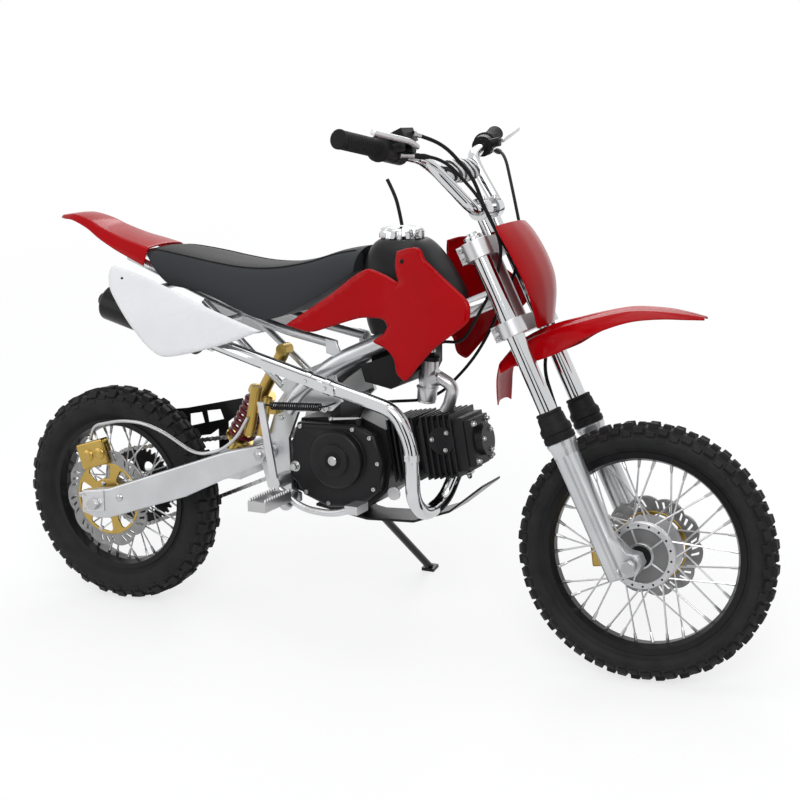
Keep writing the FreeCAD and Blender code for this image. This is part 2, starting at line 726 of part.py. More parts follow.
def caliper(radius, place, sign):
    """A brake caliper that straddles a disc; its angle is set where it is used."""
    half = size("disc_wall") / 2 + run
    middle = sign * size(place)
    bodyBlock = block((radius - 34, middle - 13, -34), (radius + 20, middle + 15, 34))
    slot = block((radius - 40, middle - half, -40), (radius + run + 3, middle + half, 40))
    return softened(bodyBlock, 4).cut(slot)


def turnedAbout(shape, degrees, place):
    shape = shape.copy()
    shape.Placement = Placement(place, Rotation(Vector(0, 1, 0), degrees))
    return shape


frontCaliper = turnedAbout(caliper(size("front_disc"), "front_disc_place", 1), -162, Vector(offset, 0, 0))
keep("front_caliper", frontCaliper, "steer")

# Chassis
headLow = headPoint(lowTop + gap)
headHigh = headPoint(size("upper_clamp") - gap)
headTube = rod(headLow, headHigh, size("head_radius"), size("head_bore"))


def spar():
    points = [headPoint(530, -14, 14), Vector(700, 58, 622), Vector(560, 66, 560), Vector(478, 68, 500),
              Vector(446, 68, 456)]
    return tube("spar", points, size("spar_radius"), 0.4)


def pivotPlate():
    return slab([(384, 350), (398, 300), (436, 276), (470, 276), (470, 292), (452, 300), (448, 400), (470, 454),
                 (545, 462), (565, 480), (540, 560), (470, 530), (425, 470)], 64, 74)


crossTube = rod(Vector(560, -72, 560), Vector(560, 72, 560), 11)
frame = joined([headTube] + both(spar()) + both(pivotPlate()) + [crossTube])
frame = frame.cut(rod(headPoint(440), headPoint(640), size("head_bore")))
frame = frame.cut(rod(pivot + Vector(0, -120, 0), pivot + Vector(0, 120, 0), 8))
keep("main_frame", frame)


def rails():
    rail = tube("rail", [Vector(548, 60, 588), Vector(420, 58, 612), Vector(250, 50, 668), Vector(70, 44, 735)],
                size("rail_radius"), 0.4)
    strut = rod(Vector(430, 62, 500), Vector(250, 52, 655), size("rail_radius") * 0.8)
    return [rail, strut]


subframe = joined(both(joined(rails())) + [rod(Vector(250, -50, 668), Vector(250, 50, 668), 8),
                                           rod(Vector(70, -44, 735), Vector(70, 44, 735), 8)])
subframe = subframe.cut(frame)


def swingarm():
    outer, inner = size("arm_outer"), size("arm_outer") - size("arm_wall")
    leg = slab([(-32, 205), (-32, 252), (34, 262), (214, 328), (318, 366), (405, 389), (422, 371), (405, 353),
                (330, 318), (223, 265), (34, 200), (0, 196)], inner, outer)
    leg = softened(softened(leg, 4, outer), 4, inner)
    hole = rod(Vector(0, inner - 5, size("rear_radius")), Vector(0, outer + 5, size("rear_radius")),
               size("axle_radius") + gap)
    leg = leg.cut(hole)
    bridge = block((300, -inner - 2, 308), (340, inner + 2, 348))
    ears = both(slab([(250, 300), (304, 310), (304, 346), (262, 352), (246, 330)], 15, 22))
    spacers = both(rod(pivot + Vector(0, 74 + gap, 0), pivot + Vector(0, inner, 0), 17))
    whole = joined(both(leg) + [bridge] + ears + spacers)
    whole = whole.cut(rod(pivot + Vector(0, -120, 0), pivot + Vector(0, 120, 0), 8))
    return whole


keep("swingarm", swingarm())
pivotBolt = (joined([rod(pivot + Vector(0, -size("arm_outer") - 4, 0),
                                  pivot + Vector(0, size("arm_outer") + 4, 0), 8 - gap)]
                             + both(bar(pivot + Vector(0, size("arm_outer") + gap, 0),
                                        pivot + Vector(0, size("arm_outer") + 10, 0), 14))))

keep("rear_axle_and_pivot_bolt", Part.makeCompound([axle(rearReach).translated(rearAxle), pivotBolt]))

# Shock absorber
shockLow, shockHigh = Vector(268, 0, 334), Vector(400, 0, 560)
shockLine = shockHigh - shockLow
shockLine.normalize()
shockBody = joined([rod(shockLow - Vector(0, 14, 0), shockLow + Vector(0, 14, 0), 12),
                    rod(shockHigh - Vector(0, 14, 0), shockHigh + Vector(0, 14, 0), 12),
                    rod(shockLow, shockHigh, size("shock_radius")),
                    rod(shockLow + shockLine * 40, shockLow + shockLine * 46, size("spring_radius")),
                    rod(shockLow + shockLine * 150, shockLow + shockLine * 158, size("spring_radius"))])
keep("shock_body", shockBody)


def spring(start, end):
    """The shock's spring, its turns lying close: a sleeve with a ridge for each turn."""
    turns = int((end - start).Length / size("spring_pitch"))
    rise = (end - start) * (1 / turns)
    outer, wire = size("spring_radius"), size("spring_wire")
    across_ = Vector(0, 1, 0)
    corners = [start + across_ * (outer - 2 * wire)]
    for i in range(turns):
        corners += [start + rise * i + across_ * (outer - wire), start + rise * (i + 0.3) + across_ * outer,
                    start + rise * (i + 0.7) + across_ * outer]
    corners += [end + across_ * (outer - wire), end + across_ * (outer - 2 * wire)]
    return Part.Face(Part.makePolygon(corners + corners[:1])).revolve(start, end - start, 360)


keep("shock_spring", spring(shockLow + shockLine * (46 + gap), shockLow + shockLine * (150 - gap)))

# Engine
tilt = math.radians(size("cylinder_tilt"))
forward, upward = Vector(math.cos(tilt), 0, math.sin(tilt)), Vector(-math.sin(tilt), 0, math.cos(tilt))


def barrelPoint(ahead, side, up):
    return crank + forward * ahead + Vector(0, side, 0) + upward * up


def barrelBlock(start, end, half, tall):
    corners = [barrelPoint(start, -half, -tall), barrelPoint(start, half, -tall),
               barrelPoint(start, half, tall), barrelPoint(start, -half, tall)]
    return Part.Face(Part.makePolygon(corners + corners[:1])).extrude(forward * (end - start))


caseOutline = [(457, 395), (470, 440), (540, 448), (600, 452), (652, 432), (664, 372), (655, 312), (610, 276),
               (540, 268), (480, 290), (455, 330)]
caseHalf = size("case_half")
standPivot = Vector(540, 78, 250)
foldedWay = Vector(-0.97, 0.24, -0.05)
standWay = Vector(size("stand_foot_x") - 540, size("stand_foot_y") - 78, -196)
foldedWay.normalize()
standWay.normalize()
standAxis = standWay.cross(foldedWay)
standAxis.normalize()


def standEars():
    """Two ears on the crankcase's lower edge that hold the stand's bolt."""
    inward = Vector(1, 0, 0).cross(standAxis)
    inward.normalize()
    turn = Rotation(inward, standAxis.cross(inward), standAxis, "ZXY")
    ears = []
    for low in (9 + run, -14):
        ear = joined([Part.makeBox(34, 22, 4, Vector(0, -11, low)),
                      Part.makeCylinder(11, 4, Vector(0, 0, low))])
        ear.Placement = Placement(standPivot, turn)
        ears.append(ear)
    return ears


cases = slab(caseOutline, -caseHalf, caseHalf).cut(block((440, 45, 320), (508, 90, 425)))
mountHalf = 64 - gap
mounts = [slab([(534, 440), (560, 440), (556, 482), (540, 474)], -mountHalf, mountHalf),
          slab([(436, 300), (458, 296), (458, 314), (436, 319)], -mountHalf, mountHalf),
          slab([(436, 300), (482, 290), (482, 309), (436, 319)], -caseHalf, caseHalf)]
cases = joined([cases] + mounts + standEars())
keep("engine_cases", cases)


def clutchCover():
    low = -caseHalf - gap
    plate = slab([(460, 396), (474, 436), (600, 440), (640, 425), (658, 372), (648, 316), (606, 282), (540, 275),
                  (486, 294), (460, 330)], low - size("cover_depth") * 0.6, low)
    plate = softened(plate, 7, low - size("cover_depth") * 0.6)
    bulgeEnd = crank + Vector(0, low - size("cover_depth"), 0)
    bulge = roundEnd(rod(crank + Vector(0, low, 0), bulgeEnd, 56), 7, bulgeEnd)
    capEnd = bulgeEnd - Vector(0, 5, 0)
    cap = roundEnd(rod(bulgeEnd, capEnd, 31), 2, capEnd)
    lug = rod(Vector(600, -70, 434), Vector(600, -70, 452 - gap), 6)
    return joined([plate, bulge, cap, lug])


keep("clutch_cover", clutchCover())
leftLow = caseHalf + gap
magnetoEnd = crank + Vector(10, leftLow + 22, 0)
magnetoPlate = slab([(500, 400), (520, 436), (620, 432), (650, 372), (636, 310), (560, 282), (504, 300)],
                    leftLow, leftLow + 12)
keep("magneto_cover", joined([softened(magnetoPlate, 5, leftLow + 12),
                              roundEnd(rod(crank + Vector(10, leftLow, 0), magnetoEnd, 50), 7, magnetoEnd)]))


def cylinder():
    solids = [barrelBlock(86, 158, 40, 42)]
    count = int(size("fins"))
    for i in range(count):
        place = 96 + i * (62 / count)
        solids.append(barrelBlock(place, place + 3.5, 54, 60))
    return joined(solids).cut(cases)


keep("cylinder", cylinder())
headFins = [barrelBlock(place, place + 4, 54, 60) for place in (166, 178, 190, 202, 214, 226)]
head = joined(headFins + [barrelBlock(158 + gap, 250, 46, 50), barrelBlock(250, 262, 40, 44),
               rod(barrelPoint(262, 0, 0), barrelPoint(276, 0, 0), 30),
               rod(barrelPoint(205, -54, 12), barrelPoint(205, 54, 12), 26)])
keep("cylinder_head", head)

# Intake, carburettor and air box
carb = joined([rod(Vector(739.5, -10, 532), Vector(706, -12, 524), 17),
               rod(Vector(722, -11, 570), Vector(714, -11, 482), 17),
               rod(Vector(722, -11, 570), Vector(724, -11, 584), 9)])
intake = tube("intake", [barrelPoint(196, 0, 59), Vector(756, 0, 480), Vector(768, -6, 515), Vector(738, -10, 532)],
              12, 0.4)
keep("carburettor_and_intake", Part.makeCompound([carb, intake.cut(carb).cut(head)]))
keep("air_box", joined([slab([(612, 556), (622, 526), (676, 516), (692, 524), (703, 545), (703, 592)], -84, 84),
                        slab([(612, 552), (703, 552), (703, 606), (612, 606)], -38, 38)]).cut(carb))

# Exhaust
exhaustPoints = [barrelPoint(205, 0, -49), Vector(756, -20, 300), Vector(742, -78, 280),
                 Vector(738, -120, 318), Vector(736, -122, 420), Vector(706, -124, 484), Vector(573, -124, 518),
                 Vector(380, -118, 566), Vector(262, -98, 592)]
exhaust = tube("exhaust", exhaustPoints, size("exhaust_radius"), 0.4)
silencerFront = Vector(268, -97, 590)
silencerLine = Vector(-220, 0, 60)
silencerLine.normalize()
silencerRear = silencerFront + silencerLine * size("silencer_length")
can = roundEnd(rod(silencerFront, silencerRear, size("silencer_radius")), 9, silencerRear)
silencer = joined([can,
                   rod(silencerRear, silencerRear + silencerLine * 16, 12, 9)])
keep("silencer", silencer)
shieldStart, shieldEnd = Vector(430, -141, 556), Vector(585, -143, 516)
shield = slab([(shieldStart.x, shieldStart.z + 8), (shieldEnd.x, shieldEnd.z + 8),
               (shieldEnd.x, shieldEnd.z - 10), (shieldStart.x, shieldStart.z - 10)], -141.5, -138)
clips = [rod(Vector(450, -120, 546), Vector(450, -139, 546), 6), rod(Vector(570, -124, 519), Vector(570, -139, 519), 6)]
keep("exhaust_pipe", joined([exhaust, shield] + clips).cut(silencer).cut(head))

# Tank, cap and vent hose
tankSections = [
    (612, 604, 744, 70), (660, 600, 784, 92), (715, 596, 762, 92), (762, 604, 732, 76), (788, 622, 706, 52)]


def ovalSection(height, back, front, half):
    middle, reach = (back + front) / 2, (front - back) / 2
    shares = [(1, 0), (0.8, 0.66), (0.3, 1), (-0.5, 1), (-0.95, 0.7), (-1, 0), (-0.95, -0.7), (-0.5, -1),
              (0.3, -1), (0.8, -0.66)]
    return [Vector(middle + reach * a, half * b, height) for a, b in shares]


tank = skin([ovalSection(*row) for row in tankSections])
tank = tank.cut(frame).cut(rod(headPoint(440), headPoint(640), size("head_radius") + gap))
capFoot = Vector(660, 0, 788 + gap)
capBody = joined([rod(capFoot, capFoot + Vector(0, 0, size("cap_height") * 0.7), size("cap_radius")),
                  rod(capFoot, capFoot + Vector(0, 0, size("cap_height")), size("cap_radius") * 0.62)])
keep("filler_cap", capBody)
ventStart = capFoot + Vector(0, 0, size("cap_height") + 1)
ventPoints = [ventStart, ventStart + Vector(-6, 0, 30), ventStart + Vector(-16, 2, 58),
              ventStart + Vector(-33, 6, 84)]
keep("vent_hose", tube("vent_hose", ventPoints, size("hose_radius")))


# Seat: top line, low edge and width along the bike
def seat():
    # x, top, low, half width at the top, half width below
    rows = [(125, 752, 742, 48, 60), (190, 751, 690, 62, 88), (285, 739, 680, 66, 100), (352, 730, 652, 64, 104),
            (420, 732, 632, 62, 104), (490, 744, 660, 58, 100), (548, 762, 694, 52, 92), (598, 772, 730, 42, 80)]
    sections = []
    for x, top, low, high, wide in rows:
        sections.append([Vector(x, -wide, low), Vector(x, -wide, low + (top - low) * 0.45),
                         Vector(x, -high, top - 4), Vector(x, -high * 0.5, top), Vector(x, high * 0.5, top),
                         Vector(x, high, top - 4), Vector(x, wide, low + (top - low) * 0.45), Vector(x, wide, low)])
    return skin(sections)


seatSolid = seat().cut(tank).cut(subframe)
keep("seat", seatSolid)


def tail():
    # x, crown, half width, drop of the sides
    rows = [(-110, 812, 34, 8), (-71, 815, 44, 12), (4, 791, 58, 20), (89, 768, 74, 30), (124, 760, 78, 36)]
    return skin([arch(*row, size("panel_wall")) for row in rows])


keep("tail_fender", tail().cut(seatSolid).cut(subframe))


def bandSide(stations, low, high, x, z):
    """How far out the band's outer face stands at (x, z)."""
    for before, after in zip(stations, stations[1:]):
        if before[0] <= x <= after[0]:
            share = (x - before[0]) / (after[0] - before[0])
            foot = before[1] + share * (after[1] - before[1])
            top = before[2] + share * (after[2] - before[2])
            return foot + (top - foot) * (z - low) / (high - low)


def seatPeg(band, x, z, start, radius=6):
    """A peg that ends halfway through a band's wall, to be cut flush by the panel."""
    end = bandSide(*band, x, z) - size("panel_wall") / 2
    return rod(Vector(x, start, z), Vector(x, end, z), radius)


def bandOf(stations, low, high):
    """A thin upright wall that follows stations (x, low side, high side) along the bike."""
    wall = size("panel_wall")
    sections = []
    for height, column in ((low, 1), (high, 2)):
        outer = [Vector(row[0], row[column], height) for row in stations]
        inner = [Vector(row[0], row[column] - wall, height) for row in stations]
        sections.append(outer + inner[::-1])
    return skin(sections)


sideOutline = [(76, 718), (91, 723), (183, 700), (260, 673), (424, 616), (316, 577), (256, 561), (210, 556),
               (178, 575), (122, 626), (81, 676)]
sidePlace = ([(40, 160, 118), (180, 162, 120), (320, 156, 118), (450, 136, 112)], 540, 740)
sidePanel = slab(sideOutline, 90, 170).common(bandOf(*sidePlace))
sidePegs = both(seatPeg(sidePlace, 180, 684, 45)) + both(seatPeg(sidePlace, 330, 628, 50))
keep("subframe", joined([subframe] + sidePegs).cut(Part.makeCompound(both(sidePanel))))
keep("side_panels", Part.makeCompound([mirrored(sidePanel), sidePanel]))
shroudOutline = [(702, 775), (750, 782), (763, 763), (852, 697), (856, 660), (790, 607), (730, 545), (712, 555),
                 (704, 583), (660, 608), (689, 637), (681, 651), (627, 650), (565, 630), (522, 618), (469, 628),
                 (639, 740), (712, 716)]
shroudPlace = ([(440, 114, 110), (560, 118, 108), (680, 132, 108), (780, 146, 116), (880, 148, 124)], 530, 790)
shroud = slab(shroudOutline, 90, 170).common(bandOf(*shroudPlace))
tankPegs = both(seatPeg(shroudPlace, 715, 735, 60)) + both(seatPeg(shroudPlace, 650, 690, 60))
keep("fuel_tank", joined([tank] + tankPegs).cut(Part.makeCompound(both(shroud))))
keep("shrouds", Part.makeCompound([mirrored(shroud), shroud]))

# Skid plate under the engine
skidLine = [(488, 262), (600, 246), (700, 252), (775, 280), (842, 335)]
skidBosses = both(rod(Vector(540, 24, 257), Vector(540, 24, 268 - gap), 5))
keep("skid_plate", joined([slab(skidLine + [(x, z + 5) for x, z in skidLine[::-1]], -42, 42)] + skidBosses))


# Foot controls
def footpeg():
    arm = tube("peg_arm", [Vector(460, 74 + gap, 290), Vector(464, 114, 270), Vector(466, 150, 298)], 8, 0.4)
    tread = block((448, 134, 292), (486, 230, 312))
    return joined([arm, tread.cut(block((456, 142, 291), (478, 224, 313)))]).cut(frame)


keep("footpegs", Part.makeCompound(both(footpeg())))
pedal = joined([rod(Vector(442, -74 - gap, 321), Vector(442, -126, 321), 14),
                tube("pedal", [Vector(442, -118, 316), Vector(500, -118, 276), Vector(570, -124, 274),
                               Vector(636, -140, 298)], 7, 0.4),
                block((622, -172, 292), (648, -128, 308)),
                slab([(436, 321), (452, 321), (424, 478), (410, 478)], -126, -120)])
keep("brake_pedal", pedal)
keep("pedal_spring", joined([rod(Vector(433, -112, 470), Vector(540, -108, 475), 7),
                             rod(Vector(419, -112, 471), Vector(434, -112, 470), 2.2),
                             rod(Vector(419, -112, 471), Vector(419, -120 + gap, 471), 2.2),
                             rod(Vector(539, -108, 475), Vector(552, -108, 478), 2.2),
                             rod(Vector(552, -108, 478), Vector(552, -74 - gap, 478), 2.2)]))
keep("gear_lever", joined([tube("gear", [Vector(505, 98, 318), Vector(560, 112, 300), Vector(640, 118, 310)], 6, 0.4),
                           rod(Vector(640, 104, 310), Vector(640, 146, 310), 9),
                           rod(Vector(505, caseHalf + 13, 318), Vector(505, 104, 318), 9)]))
keep("rear_master_cylinder", joined([rod(Vector(366, -87, 402), Vector(388, -87, 500), 11),
                                     rod(Vector(394, -87, 404), Vector(412, -87, 480), 9),
                                     block((372, -90, 448), (430, -74 - gap, 460))]))
rearCaliper = turnedAbout(caliper(size("rear_disc"), "rear_disc_place", -1), -108, rearAxle)
keep("rear_caliper", rearCaliper)


# Chain and its guard
def chainLoop():
    """The chain as one loop, wide at its outer plates and narrow between them, with the front sprocket."""
    big = size("pitch") / 2 / math.sin(math.pi / int(size("teeth")))
    small = size("pitch") / 2 / math.sin(math.pi / int(size("front_teeth")))
    front = Vector(462, 0, 372)
    line = front - rearAxle
    slope = math.atan2(line.z, line.x)
    lift = math.asin((big - small) / line.Length)
    run_ = math.sqrt(line.Length ** 2 - (big - small) ** 2)
    rearArc, frontArc = big * (math.pi + 2 * lift), small * (math.pi - 2 * lift)
    whole = rearArc + frontArc + 2 * run_
    links = 2 * round(whole / size("pitch") / 2)

    def pathAt(distance):
        """Place and outward way of the chain's middle line, from the rear sprocket's lower end."""
        if distance < rearArc:
            turn = slope - math.pi / 2 + lift - distance / big
            centre, reach, ahead = rearAxle, big, 0
        elif distance < rearArc + run_:
            turn = slope + math.pi / 2 - lift
            centre, reach, ahead = rearAxle, big, distance - rearArc
        elif distance < rearArc + run_ + frontArc:
            turn = slope + math.pi / 2 - lift - (distance - rearArc - run_) / small
            centre, reach, ahead = front, small, 0
        else:
            turn = slope - math.pi / 2 + lift
            centre, reach, ahead = front, small, distance - rearArc - run_ - frontArc
        out = Vector(math.cos(turn), 0, math.sin(turn))
        return centre + out * reach + Vector(out.z, 0, -out.x) * ahead, out

    def loop(wide, narrow):
        corners = []
        for i in range(links):
            place, out = pathAt(whole * i / links)
            place = place + out * (narrow if i % 2 else wide)
            corners.append((place.x, place.z))
        return corners

    middle, plate = size("chain_place"), size("plate_half")
    band = slab(loop(plate, plate - 1.4), middle - 6, middle + 6).cut(
        slab(loop(-plate, 1.4 - plate), middle - 7, middle + 7))
    free = bar(rearAxle + Vector(0, middle - 3.6, 0), rearAxle + Vector(0, middle + 3.6, 0), big + 8, 24)
    drive = bar(front + Vector(0, middle - 2.5, 0), front + Vector(0, middle + 2.5, 0), small + 3, 14)
    shaft = bar(front + Vector(0, 45 + gap, 0), front + Vector(0, middle + 6, 0), 9, 8)
    return joined([band.cut(free), drive, shaft])


keep("chain", chainLoop())
guardSide = size("arm_outer") - size("arm_wall") - gap
guard = joined([slab([(60, 330), (60, 396), (113, 404), (250, 436), (262, 410), (238, 400), (170, 352)],
                     guardSide - 3, guardSide),
                slab([(190, 372), (190, 290), (214, 290), (214, 392)], guardSide - 3, guardSide)])
guard = guard.cut(slab([(120, 366), (120, 392), (150, 398), (156, 376)], 70, 90))
guard = guard.cut(slab([(166, 378), (162, 402), (196, 408), (204, 388)], 70, 90))
keep("chain_guard", guard)

# Hoses and cables
hose = tube("rear_brake_hose", [Vector(-38, -60, 350), Vector(-18, -74, 384), Vector(60, -88, 404), Vector(118, -94, 406),
                                Vector(170, -96, 392), Vector(250, -98, 352), Vector(310, -100, 368),
                                Vector(348, -102, 398), Vector(374, -101.8, 440)], size("hose_radius"))
keep("rear_brake_hose", hose)
keep("front_brake_hose", tube("front_brake_hose", [Vector(43.7, -214, 832), Vector(64, -150, 800),
                                                   Vector(64, -80, 735), Vector(54, -62, 680), Vector(51, -40, 610),
                                                   Vector(52, 0, 545), Vector(46.5, 46, 498), Vector(46.5, 59, 440), Vector(14, 64, 414),
                                                   Vector(-12, 66, 370), Vector(-18, 67, 320), Vector(-30, 64, 180),
                                                   Vector(-44, 56, 90)], size("hose_radius")), "steer")
throttlePoints = [turnedPoint(14, -232, 805), turnedPoint(56, -160, 780), turnedPoint(64, -84, 690),
                  turnedPoint(54, -54, 600), turnedPoint(4, -50, 545), Vector(800, -34, 604), Vector(748, -16, 600),
                  Vector(724, -11, 583)]
keep("throttle_cable", tube("throttle_cable", throttlePoints, size("cable_radius")).cut(carb))
clutchPoints = [turnedPoint(14, 236, 805), turnedPoint(56, 160, 780), turnedPoint(64, 84, 690),
                turnedPoint(54, 54, 600), turnedPoint(4, 50, 545), Vector(800, 36, 570), Vector(716, 24, 480),
                Vector(640, -30, 480), Vector(606, -66, 477), Vector(600, -70, 453.5)]
keep("clutch_cable", tube("clutch_cable", clutchPoints, size("cable_radius")))


# Side stand, swung out about a bolt that slants outward, its foot flat on the ground
def sideStand():
    ground = standing.multVec(Vector(size("stand_foot_x"), size("stand_foot_y"), 0))
    foot = standing.inverse().multVec(Vector(ground.x, ground.y, 4))
    turn = standing.Rotation.inverted()
    sole = tile([(-14, -13), (14, -13), (14, 13), (-14, 13)], -4, 3)
    sole.Placement = Placement(foot, turn)
    leg = rod(standPivot, foot, size("stand_radius"))
    boss = rod(standPivot - standAxis * 9, standPivot + standAxis * 9, 13)
    return joined([leg, sole, boss])


keep("side_stand", sideStand())


def reachOf(placements):
    """The lowest and highest corner of all pieces, from a fine mesh of each."""
    low, high = [1e9] * 3, [-1e9] * 3
    for label, thing, frame in PIECES:
        shape = thing.Shape.copy()
        shape.Placement = placements(frame) * shape.Placement
        for corner in shape.tessellate(0.5)[0]:
            for i in range(3):
                low[i], high[i] = min(low[i], corner[i]), max(high[i], corner[i])
    return low, high


low, high = reachOf(lambda frame: standing * FRAMES[frame])
toMiddle = Placement(Vector(-(low[0] + high[0]) / 2, -(low[1] + high[1]) / 2, 0), Rotation())
print("size", [round(b - a, 1) for a, b in zip(low, high)], "shift", toMiddle.Base)
for label, thing, frame in PIECES:
    thing.Placement = toMiddle * standing * FRAMES[frame] * thing.Placement

for item in doc.Objects:
    if "Invalid" in item.State or "Error" in item.State:
        raise RuntimeError("%s is %s" % (item.Label, item.State))
for label, thing, frame in PIECES:
    if thing.Shape.isNull() or not thing.Shape.isValid() or not thing.Shape.Solids:
        raise RuntimeError("%s has no valid solid" % label)

toWorld = toMiddle * standing
for name, place in (("rear_axle", rearAxle), ("front_axle", (steerFrame.multVec(Vector(offset, 0, 0)))),
                    ("steer_foot", steerFoot), ("stand_pivot", standPivot),
                    ("pivot", pivot), ("upper_head", headPoint(size("upper_clamp")))):
    print("place", name, [round(v / 1000, 5) for v in toWorld.multVec(place)])
for name, way in (("steer_axis", along), ("rear_axis", Vector(0, 1, 0)), ("up", Vector(0, 0, 1)), ("stand_axis", standAxis), ("ahead", Vector(1, 0, 0)),
                  ("front_axis", steerFrame.Rotation.multVec(Vector(0, 1, 0)))):
    print("way", name, [round(v, 6) for v in standing.Rotation.multVec(way)])
skidMiddle = toWorld.multVec(Vector(650, 0, 249))
skidWay = standing.Rotation.multVec(Vector(6, 0, -100))
skidWay.normalize()
print("place skid", [round(v / 1000, 5) for v in skidMiddle])
print("way skid_way", [round(v, 6) for v in skidWay])
os.makedirs("parts", exist_ok=True)
for label, thing, frame in PIECES:
    thing.Shape.exportStep("parts/%s.step" % label)
    print("%-24s %d solids, volume %.0f" % (label, len(thing.Shape.Solids), thing.Shape.Volume))
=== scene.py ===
import json
import math
import bmesh
import bpy
import numpy as np
from mathutils import Matrix, Vector
from mathutils.bvhtree import BVHTree
from mathutils.geometry import delaunay_2d_cdt


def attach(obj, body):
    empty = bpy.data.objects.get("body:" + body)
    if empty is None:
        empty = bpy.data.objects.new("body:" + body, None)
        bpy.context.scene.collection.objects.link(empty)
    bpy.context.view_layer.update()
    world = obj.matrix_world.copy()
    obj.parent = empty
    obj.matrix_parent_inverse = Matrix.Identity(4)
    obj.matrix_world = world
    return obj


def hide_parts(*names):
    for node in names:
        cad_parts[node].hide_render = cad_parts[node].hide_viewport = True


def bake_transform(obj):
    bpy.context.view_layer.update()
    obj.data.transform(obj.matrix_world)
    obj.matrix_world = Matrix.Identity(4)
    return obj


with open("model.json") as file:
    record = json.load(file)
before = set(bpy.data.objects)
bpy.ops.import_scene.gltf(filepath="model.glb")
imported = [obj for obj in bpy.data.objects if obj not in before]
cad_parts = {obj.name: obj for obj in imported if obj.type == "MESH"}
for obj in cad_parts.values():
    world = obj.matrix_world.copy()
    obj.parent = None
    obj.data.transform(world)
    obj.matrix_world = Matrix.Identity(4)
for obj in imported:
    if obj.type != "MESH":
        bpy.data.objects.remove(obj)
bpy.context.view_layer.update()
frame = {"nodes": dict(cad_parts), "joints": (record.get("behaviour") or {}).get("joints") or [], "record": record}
joints = {joint["name"]: joint for joint in frame["joints"]}
print("frame loaded")


# Frames: points in millimetres, as the bike is drawn, are taken to the parked bike in metres
def unit(way):
    way = np.asarray(way, float)
    return way / np.linalg.norm(way, axis=-1, keepdims=True)


def laidFrom(origin, basis):
    def place(points):
        return origin + np.asarray(points, float) / 1000 @ basis
    return place


rake = math.radians(25.85)
axleHeight, headHeight = 0.228, 0.6  # rear axle above the ground, steering joint above the fork's origin
rearSide = unit(joints["rear_wheel_spin"]["axis"])
steerUp = unit(joints["steering"]["axis"])
steerAcross = np.cross(rearSide, steerUp)
bikeAhead = math.cos(rake) * steerAcross - math.sin(rake) * steerUp
bikeUp = math.sin(rake) * steerAcross + math.cos(rake) * steerUp
rearHub = np.array(joints["rear_wheel_spin"]["pos_m"])
frontHub = np.array(joints["front_wheel_spin"]["pos_m"])
turnedSide = unit(joints["front_wheel_spin"]["axis"])
bikeBasis = np.array([bikeAhead, rearSide, bikeUp])
forkBasis = np.array([np.cross(turnedSide, steerUp), turnedSide, steerUp])

# ahead of the rear axle, to the left, up from the ground
fromBike = laidFrom(rearHub - axleHeight * bikeUp, bikeBasis)
# ahead of the steering axis, to the left, up along the axis
fromFork = laidFrom(np.array(joints["steering"]["pos_m"]) - headHeight * steerUp, forkBasis)
fromFrontHub = laidFrom(frontHub, forkBasis)
fromRearHub = laidFrom(rearHub, bikeBasis)


def inWorld(points):  # for parts that are laid already
    return points


# Camera: turned round the bike's own axes, so that it leans with them
camera = {"azimuth": 27.61, "height": 11.69, "roll": -0.72, "distance": 3194.6, "target": (590, 0, 450),
          "focalPixels": 1656.6, "shift": (28.9, 11.9), "imageWidth": 800, "sensor": 36}


def makeCamera(look):
    turn, rise, roll = (math.radians(look[word]) for word in ("azimuth", "height", "roll"))
    back = np.array([math.sin(turn) * math.cos(rise), -math.cos(turn) * math.cos(rise), math.sin(rise)])
    right = np.array([math.cos(turn), math.sin(turn), 0])
    up = np.cross(back, right)
    right, up = math.cos(roll) * right + math.sin(roll) * up, -math.sin(roll) * right + math.cos(roll) * up
    place = fromBike(np.array(look["target"]) + back * look["distance"])
    axes = np.array([right, up, back]) @ bikeBasis
    data = bpy.data.cameras.new("camera")
    data.sensor_width = look["sensor"]
    data.lens = look["sensor"] * look["focalPixels"] / look["imageWidth"]
    data.shift_x, data.shift_y = (s / look["imageWidth"] for s in look["shift"])
    view = bpy.data.objects.new("camera", data)
    view.matrix_world = Matrix.Translation(Vector(place)) @ Matrix(axes.T.tolist()).to_4x4()
    bpy.context.scene.collection.objects.link(view)
    bpy.context.scene.camera = view


makeCamera(camera)
print("camera placed")


# Materials: sockets that can be added and multiplied
class Signal:  # one output socket; an expression on signals adds the nodes that work it out
    def __init__(self, nodes, socket):
        self.nodes, self.socket = nodes, socket

    def does(self, operation, *others):
        inputs = {0: self, **{i + 1: other for i, other in enumerate(others)}}
        return self.nodes.add("Math", {"operation": operation}, inputs)[0]

    def __add__(self, other): return self.does("ADD", other)
    def __sub__(self, other): return self.does("SUBTRACT", other)
    def __mul__(self, other): return self.does("MULTIPLY", other)
    def __truediv__(self, other): return self.does("DIVIDE", other)
    def __gt__(self, other): return self.does("GREATER_THAN", other)
    def clipped(self): return self.does("MINIMUM", 1.0).does("MAXIMUM", 0.0)


class Nodes:  # a node tree under construction
    def __init__(self, tree):
        self.tree = tree

    def add(self, kind, settings=None, inputs=None):  # a node by its type, settings first, then values or links
        node = self.tree.nodes.new("ShaderNode" + kind)
        for word, value in (settings or {}).items():
            setattr(node, word, value)
        for word, value in (inputs or {}).items():
            if isinstance(value, Signal):
                self.tree.links.new(value.socket, node.inputs[word])
            else:
                node.inputs[word].default_value = value
        return [Signal(self, output) for output in node.outputs]

    def seen(self):  # 1 for what the camera sees, directly or in metal or glass
        path = self.add("LightPath")
        cameraRay, glossyRay, transmissionRay = path[0], path[3], path[6]
        return (cameraRay + glossyRay + transmissionRay).clipped()

    def choice(self, share, first, second):  # two shaders mixed by a share
        return self.add("MixShader", {}, {0: share, 1: first, 2: second})[0]


